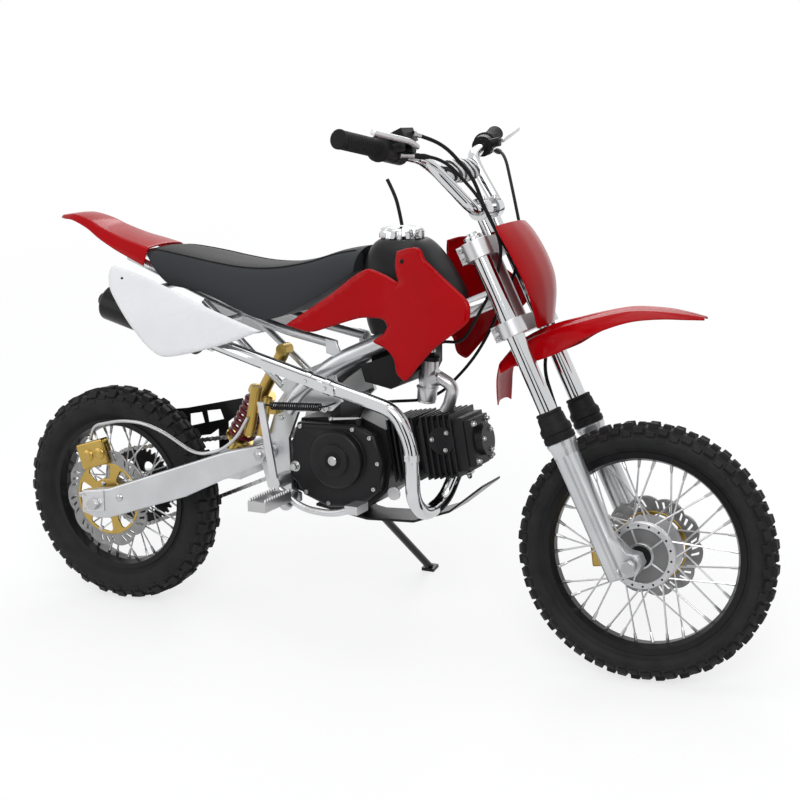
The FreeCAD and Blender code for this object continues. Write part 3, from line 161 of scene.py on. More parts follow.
class Finish(Nodes):  # one material
    def __init__(self, name):
        self.material = bpy.data.materials.new(name)
        self.material.use_nodes = True
        super().__init__(self.material.node_tree)
        self.shader = self.tree.nodes["Principled BSDF"]

    def place(self):  # the point of the surface in the object's own frame
        return self.add("TexCoord")[3]

    def noise(self, scale, detail=3, roughness=0.5):
        inputs = {"Scale": scale, "Detail": detail, "Roughness": roughness, "Vector": self.place()}
        return self.add("TexNoise", {}, inputs)[0]

    def mix(self, share, first, second):  # two colours mixed by a share
        return self.add("Mix", {"data_type": "RGBA"}, {0: share, 6: (*first, 1), 7: (*second, 1)})[2]

    def bump(self, height, distance):
        return self.add("Bump", {}, {"Distance": distance, "Height": height})[0]

    def sets(self, **values):
        for word, value in values.items():
            socket = self.shader.inputs[word.replace("_", " ")]
            if isinstance(value, Signal):
                self.tree.links.new(value.socket, socket)
            else:
                socket.default_value = (*value, 1) if isinstance(value, tuple) else value

    def shows(self, look):
        self.tree.links.new(look.socket, self.tree.nodes["Material Output"].inputs[0])


finishes = {}


def painted(name, colour, shade, rough, metal=0.0, coat=0.0, grain=(900, 0.00004), patches=14, spread=0.08,
            gloss=0.5):
    # a moulded or painted surface: two close colours in soft patches, a fine grain and slightly uneven gloss
    finish = Finish(name)
    patch = finish.noise(patches, 3)
    fine = finish.noise(grain[0], 2)
    finish.sets(Base_Color=finish.mix(((patch - 0.5) * 2 + 0.5).clipped(), colour, shade),
                Roughness=(patch - 0.5) * spread + rough, Metallic=metal, Coat_Weight=coat, Coat_Roughness=0.05,
                Specular_IOR_Level=gloss, Normal=finish.bump(fine, grain[1]))
    finishes[name] = finish.material


painted("redPlastic", (0.41, 0.001, 0.004), (0.36, 0.0008, 0.003), 0.22, coat=0.1, grain=(700, 0.00003),
        gloss=0.06)
painted("whitePlastic", (0.84, 0.84, 0.84), (0.79, 0.79, 0.8), 0.28, coat=0.1, grain=(700, 0.00003), gloss=0.3)
painted("blackPlastic", (0.008, 0.008, 0.009), (0.014, 0.014, 0.015), 0.4, grain=(600, 0.00008), gloss=0.14)
painted("softBlack", (0.008, 0.008, 0.008), (0.014, 0.014, 0.014), 0.55, grain=(500, 0.0001), gloss=0.12)
painted("tyreRubber", (0.012, 0.012, 0.012), (0.022, 0.022, 0.022), 0.6, grain=(350, 0.00015), patches=30,
        gloss=0.16)
painted("blackPaint", (0.007, 0.007, 0.008), (0.012, 0.012, 0.013), 0.3, coat=0.1, gloss=0.15)
painted("castBlack", (0.008, 0.008, 0.009), (0.015, 0.015, 0.016), 0.38, grain=(420, 0.00012), gloss=0.22)
painted("silverPaint", (0.6, 0.61, 0.62), (0.5, 0.51, 0.52), 0.3, metal=0.85, grain=(800, 0.00005))
painted("castSilver", (0.66, 0.66, 0.67), (0.55, 0.55, 0.56), 0.34, metal=0.9, grain=(500, 0.0001))
painted("chrome", (0.64, 0.65, 0.66), (0.58, 0.59, 0.6), 0.07, metal=1.0, grain=(300, 0.00001), spread=0.04)
painted("steel", (0.52, 0.52, 0.52), (0.44, 0.44, 0.45), 0.3, metal=0.95)
painted("gold", (0.52, 0.36, 0.1), (0.42, 0.28, 0.07), 0.3, metal=0.9)
painted("discSteel", (0.3, 0.3, 0.3), (0.22, 0.22, 0.22), 0.34, metal=0.9, patches=60)
# the hub's cast silver darkened: painted shade for the recessed web of the front hub's face
painted("darkCast", (0.2, 0.2, 0.2), (0.15, 0.15, 0.15), 0.5, metal=0.6, grain=(500, 0.0001))
painted("redSteel", (0.15, 0.003, 0.008), (0.1, 0.002, 0.006), 0.32, coat=0.15, gloss=0.25)


def seatCover():
    # black on top and grey at the sides, by how far across the seat a point is
    finish = Finish("seatCover")
    across = finish.add("SeparateXYZ", {}, {0: finish.add("UVMap", {"uv_map": "across"})[0]})[0]
    side = (across - 0.5).does("ABSOLUTE") > seat["seamAt"] / 2
    finish.sets(Base_Color=finish.mix(side, (0.006, 0.006, 0.007), (0.035, 0.037, 0.04)),
                Roughness=side * 0.12 + 0.5, Specular_IOR_Level=0.12,
                Normal=finish.bump(finish.noise(420, 4), 0.0002))
    finishes["seatCover"] = finish.material


def stripedCover():
    # dark and pale bands: the sine of a slanting place, wavered by noise
    finish = Finish("padCover")
    x, y, z = finish.add("SeparateXYZ", {}, {0: finish.place()})
    wave = (y * 330 + z * 240 + x * 60 + finish.noise(26, 2) * 7).does("SINE")
    weave = finish.noise(1600, 1)
    finish.sets(Base_Color=finish.mix((wave * 6 + 0.5).clipped(), (0.009, 0.009, 0.01), (0.75, 0.75, 0.75)),
                Roughness=weave * 0.1 + 0.45, Specular_IOR_Level=0.2, Normal=finish.bump(weave, 0.00006))
    finishes["padCover"] = finish.material


slotFinish = {"black_rubber": "tyreRubber", "black_rim": "blackPaint", "hub_silver": "castSilver",
              "silver_paint": "silverPaint", "black_paint": "blackPaint", "chrome": "chrome", "steel": "steel",
              "gold": "gold", "cast_black": "castBlack", "red_plastic": "redPlastic",
              "white_plastic": "whitePlastic", "black_plastic": "blackPlastic", "seat_cover": "softBlack",
              "soft_black": "softBlack", "red_steel": "redSteel"}
slotOf = {finish: slot for slot, finish in slotFinish.items()}
slotOf.update(seatCover="seat_cover", padCover="soft_black", discSteel="steel", darkCast="hub_silver")
for part in frame["record"]["subparts"]:
    node = frame["nodes"][part["node"]]
    node.data.materials.clear()
    node.data.materials.append(finishes[slotFinish[part["material_slot"]]])
print("finishes made")


# Stage: pale floor that shows white to the camera, soft lamps
def staged(name, points, faces, finish):
    data = bpy.data.meshes.new(name)
    data.from_pydata([tuple(p) for p in points], [], faces)
    data.materials.append(finish.material)
    thing = bpy.data.objects.new(name, data)
    bpy.context.scene.collection.objects.link(thing)


def makeFloor(reach=12):
    # the camera sees the floor near white, brighter further out; everything else sees it plain
    finish = Finish("floorWhite")
    finish.sets(Base_Color=(0.9, 0.9, 0.9), Roughness=0.9)
    dim = finish.add("BsdfDiffuse", {}, {"Color": (0.3, 0.3, 0.3, 1)})[0]
    glow = finish.add("Emission", {}, {"Color": (1, 1, 1, 1), "Strength": 0.72})[0]
    white = finish.add("Emission", {}, {"Color": (1, 1, 1, 1), "Strength": 1.0})[0]
    away = finish.add("VectorMath", {"operation": "LENGTH"}, {0: finish.place()})[1]
    shadowed = finish.add("AddShader", {}, {0: dim, 1: glow})[0]
    seen = finish.choice(((away - 1.2) / 2.5).clipped(), shadowed, white)
    finish.shows(finish.choice(finish.seen(), Signal(finish, finish.shader.outputs[0]), seen))
    staged("floor", [(-reach, -reach, 0), (reach, -reach, 0), (reach, reach, 0), (-reach, reach, 0)],
           [(0, 1, 2, 3)], finish)


def makeWorld():
    # a weak pale sky on the bike, plain white where it is seen
    world = bpy.data.worlds.new("studio")
    world.use_nodes = True
    bpy.context.scene.world = world
    sky = Nodes(world.node_tree)
    sky.tree.nodes.clear()
    plain = sky.add("Background", {}, {"Color": (0.9, 0.93, 1, 1), "Strength": 0.4})[0]
    white = sky.add("Background", {}, {"Color": (1, 1, 1, 1), "Strength": 1.0})[0]
    sky.add("OutputWorld", {}, {0: sky.choice(sky.seen(), plain, white)})


cards = [((3.4, -4.6, 1.4), 2.2, 2.8), ((-0.6, -6.0, 1.2), 1.6, 2.6), ((-4.8, -3.2, 1.2), 1.4, 2.8),
         ((5.6, 0.6, 1.2), 1.6, 2.6)]  # (centre, width, height), metres


def makeCards():
    # upright black cards outside the view, facing the bike, so that chrome has dark streaks beside the white
    points, faces = [], []
    for centre, width, height in cards:
        centre = np.array(centre)
        over = unit(np.cross([0, 0, 1], centre * [1, 1, 0])) * width / 2
        up = np.array([0, 0, height / 2])
        faces.append([len(points) + i for i in range(4)])
        points += [centre - over - up, centre + over - up, centre + over + up, centre - over + up]
    # black to what it lights and mirrors, clear to the camera
    finish = Finish("cardBlack")
    dark = finish.add("BsdfDiffuse", {}, {"Color": (0.01, 0.01, 0.01, 1)})[0]
    cameraRay = finish.add("LightPath")[0]
    finish.shows(finish.choice(cameraRay, dark, finish.add("BsdfTransparent")[0]))
    finish.tree.nodes.remove(finish.shader)
    staged("cards", points, faces, finish)


# (name, place and width in metres, watts)
lamps = [("key", (1.6, -3.0, 3.4), 2.0, 75), ("fill", (-3.2, -2.2, 2.0), 2.6, 26),
         ("top", (0.2, 0.4, 3.6), 2.6, 42), ("rim", (-1.0, 3.4, 2.4), 2.0, 40)]


def makeLamps():
    aim = Vector((0, 0, 0.5))
    for name, place, width, power in lamps:
        data = bpy.data.lights.new(name, "AREA")
        data.size, data.energy = width, power
        lamp = bpy.data.objects.new(name, data)
        lamp.location = place
        lamp.rotation_euler = (aim - Vector(place)).to_track_quat("-Z", "Y").to_euler()
        bpy.context.scene.collection.objects.link(lamp)


makeFloor()
makeWorld()
makeCards()
makeLamps()
bpy.context.scene.view_settings.view_transform = "Standard"
print("stage set")

# Pieces: points in metres go into a mesh at the origin
bodyOfNode = {node: name for name, nodes in frame["record"]["behaviour"]["bodies"].items() for node in nodes}


def makePiece(name, points, faces, finish, rides, stands=(), sharp=35, bevel=None, wall=None, turned=True):
    # points (n, 3) and faces as rows of corner numbers; stands names the CAD nodes that this piece stands for;
    # turned has the faces of closed parts point outwards, whichever way they are drawn
    mesh = bpy.data.meshes.new(name)
    mesh.from_pydata(np.asarray(points, float).reshape(-1, 3).tolist(), [], [list(map(int, f)) for f in faces])
    mesh.validate()
    if turned and not wall:
        turnOutward(mesh)
    piece = bpy.data.objects.new(name, mesh)
    bpy.context.scene.collection.objects.link(piece)
    mesh.materials.append(finishes[finish])
    finishPiece(piece, rides, stands, sharp, bevel, wall)
    return piece


def turnOutward(mesh):  # each closed part gets its faces to point outwards
    work = bmesh.new()
    work.from_mesh(mesh)
    bmesh.ops.recalc_face_normals(work, faces=work.faces)
    work.to_mesh(mesh)
    work.free()


def finishPiece(piece, rides, stands, sharp, bevel=None, wall=None):
    # bevel (width, segments, least angle); wall (thickness, where the drawn skin lies in it from -1 to 1)
    mesh = piece.data
    mesh.polygons.foreach_set("use_smooth", np.ones(len(mesh.polygons), bool))
    if wall:
        thick = piece.modifiers.new("wall", "SOLIDIFY")
        thick.thickness, thick.offset, thick.use_even_offset = wall[0] / 1000, wall[1], False
    if bevel:
        edge = piece.modifiers.new("edges", "BEVEL")
        edge.width, edge.segments, edge.limit_method = bevel[0] / 1000, bevel[1], "ANGLE"
        edge.angle_limit = math.radians(bevel[2])
        edge.harden_normals = False
    mesh.set_sharp_from_angle(angle=math.radians(sharp))
    if rides:
        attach(piece, rides)
    if stands:
        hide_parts(*stands)


def makeJoined(name, parts, place, finish, rides, stands=(), sharp=35, bevel=None):
    # several (points, faces), drawn in one frame, as one piece
    points, faces = joinParts(parts)
    makePiece(name, place(points), faces, finish, rides, stands, sharp, bevel)


def joinParts(parts):
    points, faces, first = [], [], 0
    for p, f in parts:
        p = np.asarray(p, float).reshape(-1, 3)
        points.append(p)
        faces += [[int(c) + first for c in face] for face in f]
        first += len(p)
    return np.concatenate(points), faces


def mirroredPart(part):
    points, faces = part
    return np.asarray(points) * [1, -1, 1], [list(face)[::-1] for face in faces]


def gridFaces(rows, columns, closedRows=False, closedColumns=False):
    # quads between neighbouring points of a grid, wrapped round where a way is closed
    r = np.arange(rows if closedRows else rows - 1)
    c = np.arange(columns if closedColumns else columns - 1)
    i, j = [k.ravel() for k in np.meshgrid(r, c, indexing="ij")]
    nextI, nextJ = (i + 1) % rows, (j + 1) % columns
    return np.stack([i * columns + j, nextI * columns + j, nextI * columns + nextJ, i * columns + nextJ], 1)


def ringsPart(grid, firstCap=True, lastCap=True):
    # closed rings, one a row, joined along the rows; the first and the last can be filled
    rows, columns = grid.shape[:2]
    faces = gridFaces(rows, columns, closedColumns=True)[:, ::-1].tolist()
    if firstCap:
        faces.append(list(range(columns)))
    if lastCap:
        faces.append(list(range((rows - 1) * columns, rows * columns))[::-1])
    return grid.reshape(-1, 3), faces


def through(points, count, closed=False, sharp=()):
    # a curve through the points: cubic spans whose tangents follow the neighbours, one-sided at sharp corners
    p = np.asarray(points, float)
    n = len(p)
    out = []
    for i in range(n if closed else n - 1):
        a, b = p[i], p[(i + 1) % n]
        before, after = p[(i - 1) % n], p[(i + 2) % n]
        startOpen = (i in sharp) or (not closed and i == 0)
        endOpen = ((i + 1) % n in sharp) or (not closed and i == n - 2)
        size = np.linalg.norm(b - a)
        t0 = b - a if startOpen else (b - before) * size / (size + np.linalg.norm(a - before) + 1e-9)
        t1 = b - a if endOpen else (after - a) * size / (size + np.linalg.norm(after - b) + 1e-9)
        s = np.linspace(0, 1, count, endpoint=False)[:, None]
        out.append((2 * s ** 3 - 3 * s ** 2 + 1) * a + (s ** 3 - 2 * s ** 2 + s) * t0
                   + (3 * s ** 2 - 2 * s ** 3) * b + (s ** 3 - s ** 2) * t1)
    if not closed:
        out.append(p[-1:])
    return np.concatenate(out)


def circle(count):
    return np.linspace(0, 2 * np.pi, count, endpoint=False)


def tubePart(path, radius, count=16):
    # rings square to the path with no twist: path + radius * (cos * side + sin * up), closed at both ends
    path = np.asarray(path, float)
    ways = unit(np.gradient(path, axis=0))
    side = np.cross(ways[0], [0, 0, 1.0])
    if np.linalg.norm(side) < 0.1:
        side = np.cross(ways[0], [0, 1.0, 0])
    sides = []
    for way in ways:
        side = unit(side - way * side.dot(way))
        sides.append(side)
    sides = np.array(sides)[:, None]
    ups = np.cross(sides, ways[:, None])
    a = circle(count)[:, None]
    return ringsPart(path[:, None] + radius * (np.cos(a) * sides + np.sin(a) * ups))


def turnedPart(start, end, profile, count=32):
    # a profile of (distance, radius) turned round the line from start to end; a radius of 0 closes it
    start = np.asarray(start, float)
    way = unit(np.asarray(end, float) - start)
    side = unit(np.cross(way, [0, 0, 1]) if abs(way[2]) < 0.9 else np.cross(way, [0, 1, 0]))
    up = np.cross(way, side)
    a = circle(count)[:, None]
    spokes = np.cos(a) * side + np.sin(a) * up
    profile = np.asarray(profile, float)
    grid = start + profile[:, :1, None] * way + profile[:, 1:, None] * spokes[None]
    return ringsPart(grid, profile[0, 1] > 0, profile[-1, 1] > 0)


boxFaces = [(3, 2, 1, 0), (4, 5, 6, 7), (0, 1, 5, 4), (1, 2, 6, 5), (2, 3, 7, 6), (3, 0, 4, 7)]


def boxPart(corners):  # eight corners: four below, then four above, each counted round
    return np.asarray(corners, float), boxFaces


def slabPart(outline, low, high):  # an outline on (x, z) between two sides
    count = len(outline)
    points = np.concatenate([np.insert(np.asarray(outline, float), 1, side, 1) for side in (low, high)])
    faces = [[i, (i + 1) % count, count + (i + 1) % count, count + i] for i in range(count)]
    return points, faces + [list(range(count))[::-1], list(range(count, 2 * count))]


# Castings: copies of the CAD forms with their edges eased by so many millimetres
easedNodes = {
    "engine_cases": 2.0, "clutch_cover": 1.2, "magneto_cover": 1.2, "cylinder": 0.8, "cylinder_head": 1.0,
    "fork_clamps": 2.0, "fork_sliders": 2.5, "fork_tubes": 1.0, "front_caliper": 1.2, "rear_caliper": 1.2,
    "swingarm": 1.0, "footpegs": 1.2, "brake_pedal": 1.5, "gear_lever": 1.5, "rear_master_cylinder": 1.0,
    "main_frame": 1.2, "skid_plate": 1.2, "side_stand": 1.5, "chain_guard": 0.8,
    "carburettor_and_intake": 1.5, "air_box": 3.0, "exhaust_pipe": 0.8, "silencer": 1.0, "shock_body": 1.2,
    "bar_controls": 2.0, "lever_blades": 1.5, "front_axle": 1.0, "rear_axle_and_pivot_bolt": 1.0,
}


def easeNodes(table):
    for node, width in table.items():
        mesh = frame["nodes"][node].data.copy()
        mesh.name = node + "_eased"
        work = bmesh.new()
        work.from_mesh(mesh)
        bmesh.ops.remove_doubles(work, verts=work.verts, dist=2e-6)
        bmesh.ops.dissolve_limit(work, angle_limit=math.radians(0.7), verts=work.verts, edges=work.edges)
        work.to_mesh(mesh)
        work.free()
        piece = bpy.data.objects.new(mesh.name, mesh)
        bpy.context.scene.collection.objects.link(piece)
        finishPiece(piece, bodyOfNode[node], (node,), 32, (width, 2, 38))


easeNodes(easedNodes)
print("castings eased")


# Moulded panels: an outline filled with points, laid on a bulged side
def panelPart(outline, sideAt, step=7.0, roll=5.0, inset=(1.0, 2.5, 4.5)):
    # points (x, z) inside the outline, joined by triangles, with rims of points inset from it;
    # side = sideAt - roll * (1 - distance to the edge / roll)^2
    outline = np.asarray(outline, float)
    ways = np.roll(outline, -1, 0) - outline
    low, high = outline.min(0), outline.max(0)
    x, z = np.meshgrid(np.arange(low[0], high[0], step), np.arange(low[1], high[1], step))
    inner = np.stack([x.ravel(), z.ravel()], -1)
    normals = unit(np.stack([-ways[:, 1], ways[:, 0]], -1))
    turning = np.sum(outline[:, 0] * np.roll(outline[:, 1], -1) - outline[:, 1] * np.roll(outline[:, 0], -1))
    inward = normals * np.sign(turning)
    inward = unit(inward + np.roll(inward, 1, 0))

    def edgeDistance(p):
        back = p[:, None] - outline[None]
        share = np.clip((back * ways).sum(-1) / (ways ** 2).sum(-1), 0, 1)
        return np.linalg.norm(back - share[..., None] * ways, axis=-1).min(1)

    def inside(p):
        a, b = outline, np.roll(outline, -1, 0)
        crosses = (a[None, :, 1] > p[:, None, 1]) != (b[None, :, 1] > p[:, None, 1])
        at = a[None, :, 0] + (p[:, None, 1] - a[None, :, 1]) / (b - a)[None, :, 1] * (b - a)[None, :, 0]
        return (crosses & (p[:, None, 0] < at)).sum(1) % 2 == 1

    keep = [outline]
    with np.errstate(divide="ignore", invalid="ignore"):
        for depth in inset:
            rim = outline + inward * depth
            keep.append(rim[inside(rim) & (edgeDistance(rim) > depth * 0.8)])
        keep.append(inner[inside(inner) & (edgeDistance(inner) > step)])
    count = len(outline)
    edges = [(i, (i + 1) % count) for i in range(count)]
    result = delaunay_2d_cdt([Vector(p) for p in np.concatenate(keep)], edges, [], 1, 1e-6)
    flat, faces = np.array([tuple(p) for p in result[0]]), [list(face) for face in result[2]]
    side = sideAt(flat[:, 0], flat[:, 1]) - roll * np.clip(1 - edgeDistance(flat) / roll, 0, 1) ** 2
    return np.stack([flat[:, 0], -side, flat[:, 1]], -1), faces


# outlines (x, z); the side is read along x from (x, side) at a low and at a high level
shroud = {
    "outline": [(469, 628), (560, 686), (639, 740), (676, 734), (709, 720), (700, 748), (702, 775), (730, 783),
                (750, 782), (763, 763), (808, 730), (852, 697), (859, 680), (856, 660), (822, 632), (790, 607),
                (756, 570), (736, 547), (728, 544), (712, 555), (704, 583), (684, 600), (660, 610), (682, 627),
                (690, 640), (681, 651), (655, 653), (627, 650), (565, 630), (522, 618)],
    "sharp": (0, 4, 6, 9, 24), "lowZ": 530, "highZ": 790, "bulge": 5,
    "low": [(440, 114), (560, 118), (680, 132), (780, 146), (880, 148)],
    "high": [(440, 110), (560, 108), (680, 108), (780, 116), (880, 124)],
}
sidePanel = {
    "outline": [(76, 718), (83, 724), (93, 723), (135, 713), (183, 700), (260, 673), (345, 643), (424, 616),
                (372, 595), (316, 577), (256, 562), (226, 557), (206, 559), (178, 575), (148, 601), (122, 627),
                (98, 655), (81, 678), (74, 700)],
    "sharp": (7,), "lowZ": 540, "highZ": 740, "bulge": 4,
    "low": [(40, 160), (180, 162), (320, 156), (450, 136)],
    "high": [(40, 118), (180, 120), (320, 118), (450, 112)],
}


def makePanels(name, panel, finish, node):
    def sideAt(x, z):
        low = np.interp(x, *np.array(panel["low"], float).T)
        high = np.interp(x, *np.array(panel["high"], float).T)
        share = np.clip((z - panel["lowZ"]) / (panel["highZ"] - panel["lowZ"]), 0, 1)
        return low + (high - low) * share + panel["bulge"] * np.sin(np.pi * share)

    near = panelPart(through(panel["outline"], 5, True, panel["sharp"]), sideAt)
    points, faces = joinParts([near, mirroredPart(near)])
    makePiece(name, fromBike(points), faces, finish, "chassis", (node,), 40, (0.8, 2, 60), (3.0, -1))


makePanels("shroud_skins", shroud, "redPlastic", "shrouds")
makePanels("side_panel_skins", sidePanel, "whitePlastic", "side_panels")


# Arched skins: mudguards and tail, each a row of sections (place, crown, half width, drop) along the piece
def archGrid(rows, columns, shape, count=8):
    # rows smoothed along the piece; height = crown - drop * shape(share of the half width)
    rows = through(rows, count)
    share = np.linspace(-1, 1, columns)
    x = np.repeat(rows[:, :1], columns, 1)
    return np.stack([x, rows[:, 2:3] * share, rows[:, 1:2] - rows[:, 3:4] * shape(share)[None]], -1)


def skirted(share, edge, drop, power):  # a flat crown out to the edge, then a skirt that falls away
    s = np.abs(share)
    skirt = np.clip((s - edge) / (1 - edge), 0, 1) ** power
    return np.where(s < edge, drop * (s / edge) ** 2, drop + (1 - drop) * skirt)


fenderRows = [(-50, 420, 46, 20), (-15, 433, 52, 32), (30, 438, 57, 44), (75, 436, 59, 44), (115, 431, 61, 34),
              (165, 423, 61, 26), (215, 411, 57, 20), (262, 389, 47, 14), (298, 366, 32, 9), (324, 347, 14, 4)]
tongueRows = [(-46, 419, 44, 3), (-62, 400, 43, 6), (-74, 378, 41, 8), (-84, 356, 36, 8)]
tailRows = [(-112, 811, 26, 5), (-100, 813, 33, 8), (-71, 815.5, 44, 12), (-30, 806, 52, 17), (4, 792, 59, 22),
            (50, 777, 67, 28), (89, 768, 74, 33), (126, 759, 79, 38)]


def fenderShape(share):  # shoulders at the sides and a raised ridge in the middle
    return skirted(share, 0.6, 0.1, 1.5) - 4 / 30 * np.exp(-(np.abs(share) / 0.16) ** 4)


def tongueShape(share):
    return np.abs(share) ** 3


def tailShape(share):
    return skirted(share, 0.78, 0.12, 1.2)


def makeSkin(name, grid, place, body, node=(), sharp=40, bevel=1.0, wall=3.0, inward=False):
    faces = gridFaces(*grid.shape[:2])
    makePiece(name, place(grid), faces[:, ::-1] if inward else faces, "redPlastic", body, node, sharp,
              (bevel, 2, 50), (wall, -1))


makeSkin("fender_skin", archGrid(fenderRows, 49, fenderShape), fromFork, "steering", ("front_fender",))
makeSkin("splash_tongue", archGrid(tongueRows, 25, tongueShape), fromFork, "steering", bevel=0.8, wall=2.5,
         inward=True)
makeSkin("tail_skin", archGrid(tailRows, 41, tailShape), fromBike, "chassis", ("tail_fender",), sharp=30)

# the plate's rows: height, ahead, half width, curl
plateRows = [(445, 56, 46, 6), (470, 68, 60, 8), (500, 81, 76, 11), (530, 88, 87, 12), (565, 89.5, 92, 13),
             (600, 86, 92, 12), (626, 80, 89, 10), (641, 75, 80, 8)]


def plateGrid(rows):
    # ahead = row's ahead - curl * share^3 to both sides, with a swelling of 2 mm in the middle
    rows = through(rows, 7)
    share = np.linspace(-1, 1, 45)
    ahead = rows[:, 1:2] - rows[:, 3:4] * np.abs(share) ** 3 + 2.0 * np.exp(-(share / 0.5) ** 4)[None]
    return np.stack([ahead, rows[:, 2:3] * share, np.repeat(rows[:, :1], len(share), 1)], -1)


makeSkin("plate_skin", plateGrid(plateRows), fromFork, "steering", ("number_plate",), inward=True)
print("plastics made")

# Seat: a long foam pad with a black top and grey sides, sewn along the edge between them
# its rows: place, top, low edge, half width at the edge, half width below
seat = {"rows": [(122, 753, 741, 46, 60), (150, 756, 716, 56, 76), (190, 752, 690, 63, 88),
                 (240, 745, 683, 66, 95), (285, 738, 677, 66, 100), (352, 731, 652, 64, 104),
                 (420, 733, 634, 62, 104), (490, 746, 660, 57, 100), (548, 764, 694, 50, 92),
                 (598, 773, 730, 40, 80)],
        "crown": 5, "seamAt": 0.5, "seamRadius": 1.6}


def seatGrid(columns=41):
    # across share t from -1 to 1: a low crown out to the seam, then the side bows out down to the low edge
    rows = through(seat["rows"], 8)
    x, top, low, high, wide = (rows[:, i:i + 1] for i in range(5))
    t = np.linspace(-1, 1, columns)[None]
    a, edge = np.abs(t), seat["seamAt"]
    over = np.clip(a / edge, 0, 1)
    down = np.clip((a - edge) / (1 - edge), 0, 1)
    y = np.where(a < edge, high * over, high + (wide - high) * np.sin(down * np.pi / 2) ** 0.8)
    shoulder = top - seat["crown"]
    z = np.where(a < edge, top - seat["crown"] * over ** 3, shoulder - (shoulder - low) * down ** 1.15)
    return np.stack([np.repeat(x, columns, 1), y * np.sign(t), z], -1)


def makeSeat():
    grid = seatGrid()
    rows, columns = grid.shape[:2]
    seatCover()
    piece = makePiece("seat_cushion", fromBike(grid), ringsPart(grid)[1], "seatCover", "chassis", ("seat",), 50,
                      (3.0, 3, 50))
    layer = piece.data.uv_layers.new(name="across")
    corner = np.empty(len(piece.data.loops), int)
    piece.data.loops.foreach_get("vertex_index", corner)
    u, v = np.tile(np.linspace(0, 1, columns), rows), np.repeat(np.linspace(0, 1, rows), columns)
    layer.data.foreach_set("uv", np.stack([u[corner], v[corner]], 1).ravel())
    for sign, name in ((-1, "seat_seam_right"), (1, "seat_seam_left")):
        column = round((1 + sign * seat["seamAt"]) / 2 * (columns - 1))
        seam = tubePart(fromBike(grid[2:-2, column] + [0, 0, 0.4]), seat["seamRadius"] / 1000, 8)
        makePiece(name, *seam, "softBlack", "chassis")


makeSeat()

# Tank: level rows of height, back end, front end, half width
tankRows = [(612, 606, 744, 68), (635, 602, 768, 84), (660, 600, 781, 92), (690, 598, 776, 94),
            (715, 597, 762, 92), (740, 600, 747, 86), (762, 605, 731, 75), (778, 613, 717, 62),
            (788, 626, 702, 46), (789, 652, 676, 18)]


def makeTank(square=2.7):
    # level rings: a superellipse |x/a|^n + |y/b|^n = 1 whose ends and half width follow the rows
    rows = through(tankRows, 6)
    a = circle(72)
    c, s, n = np.cos(a), np.sin(a), 2 / square
    middle, reach = (rows[:, 1:2] + rows[:, 2:3]) / 2, (rows[:, 2:3] - rows[:, 1:2]) / 2
    x = middle + reach * np.sign(c) * np.abs(c) ** n
    y = rows[:, 3:4] * np.sign(s) * np.abs(s) ** n
    grid = np.stack([x, y, np.repeat(rows[:, :1], len(a), 1)], -1)
    makeJoined("tank_shell", [ringsPart(grid)], fromBike, "blackPlastic", "chassis", ("fuel_tank",), 40)


makeTank()
print("seat and tank made")

# Wheels: knobbly tyres over smooth carcasses, laced rims and scalloped brake discs
# points are (radius, side); tilt is the shoulder lugs' lean in degrees
wheels = {
    "front": {"place": fromFrontHub, "body": "front_wheel", "stands": "front_tyre", "lugs": 32,
              "section": [(178.1, 20.2), (186, 20.6), (191, 23), (197, 29), (205, 32.6), (213, 31.8), (219, 27.3),
                          (226, 19.5), (230.4, 12), (231.4, 0)],
              "shoulder": (224.0, 21.6), "tilt": 42.4, "halfLong": 8.9, "halfOver": 7.4, "crown": 231,
              "crownHalf": 6.0, "side": (211.5, 31.4), "flank": (219.4, 26.6), "well": 168.9, "flange": 62,
              "hub": 30},
    "rear": {"place": fromRearHub, "body": "rear_wheel", "stands": "rear_tyre", "lugs": 28,
             "section": [(152.7, 25.7), (161, 26.1), (166, 29), (173, 35.5), (184, 39.8), (196, 40.2),
                         (206, 36.5), (213, 27), (218.6, 17), (220.2, 0)],
             "shoulder": (213.2, 26.2), "tilt": 52, "halfLong": 10.2, "halfOver": 9.4, "crown": 219.6,
             "crownHalf": 7.2, "side": (201.5, 39.0), "flank": (208.4, 32.4), "well": 143.6, "flange": 44,
             "hub": 36},
}
discs = {"front": {"outer": 94, "inner": 64, "side": 45, "ring": 66, "node": "front_disc", "hub": 30.3},
         "rear": {"outer": 104, "inner": 74, "side": -58, "ring": 77, "node": "rear_disc", "hub": 36.3}}


def atTurn(turn, radius, side):  # a point by its angle round the axle
    return np.array([radius * math.cos(turn), side, radius * math.sin(turn)])


def lugBlocks(foot, tilt, halfLong, halfOver, rise, angles, draft=1.0, sink=2.0, spread=0.4):
    # tapered blocks: corner = foot + u * tangent + v * over + w * up, for each angle round the wheel
    a, t = np.asarray(angles)[:, None], math.radians(tilt)
    out = np.stack([np.cos(a), 0 * a, np.sin(a)], -1)
    tangent = np.stack([-np.sin(a), 0 * a, np.cos(a)], -1)
    up = out * math.cos(t) + np.array([0, math.sin(t), 0])
    over = -out * math.sin(t) + np.array([0, math.cos(t), 0])
    taper = np.repeat([spread, -draft], 4)
    u = np.array([-1, 1, 1, -1] * 2) * (halfLong + taper)
    v = np.array([-1, -1, 1, 1] * 2) * (halfOver + taper)
    w = np.repeat([-sink, rise], 4)
    points = (out * foot[0] + np.array([0, foot[1], 0]) + u[None, :, None] * tangent + v[None, :, None] * over
              + w[None, :, None] * up)
    faces = np.array(boxFaces)[None] + 8 * np.arange(len(a))[:, None, None]
    return points.reshape(-1, 3), faces.reshape(-1, 4).tolist()


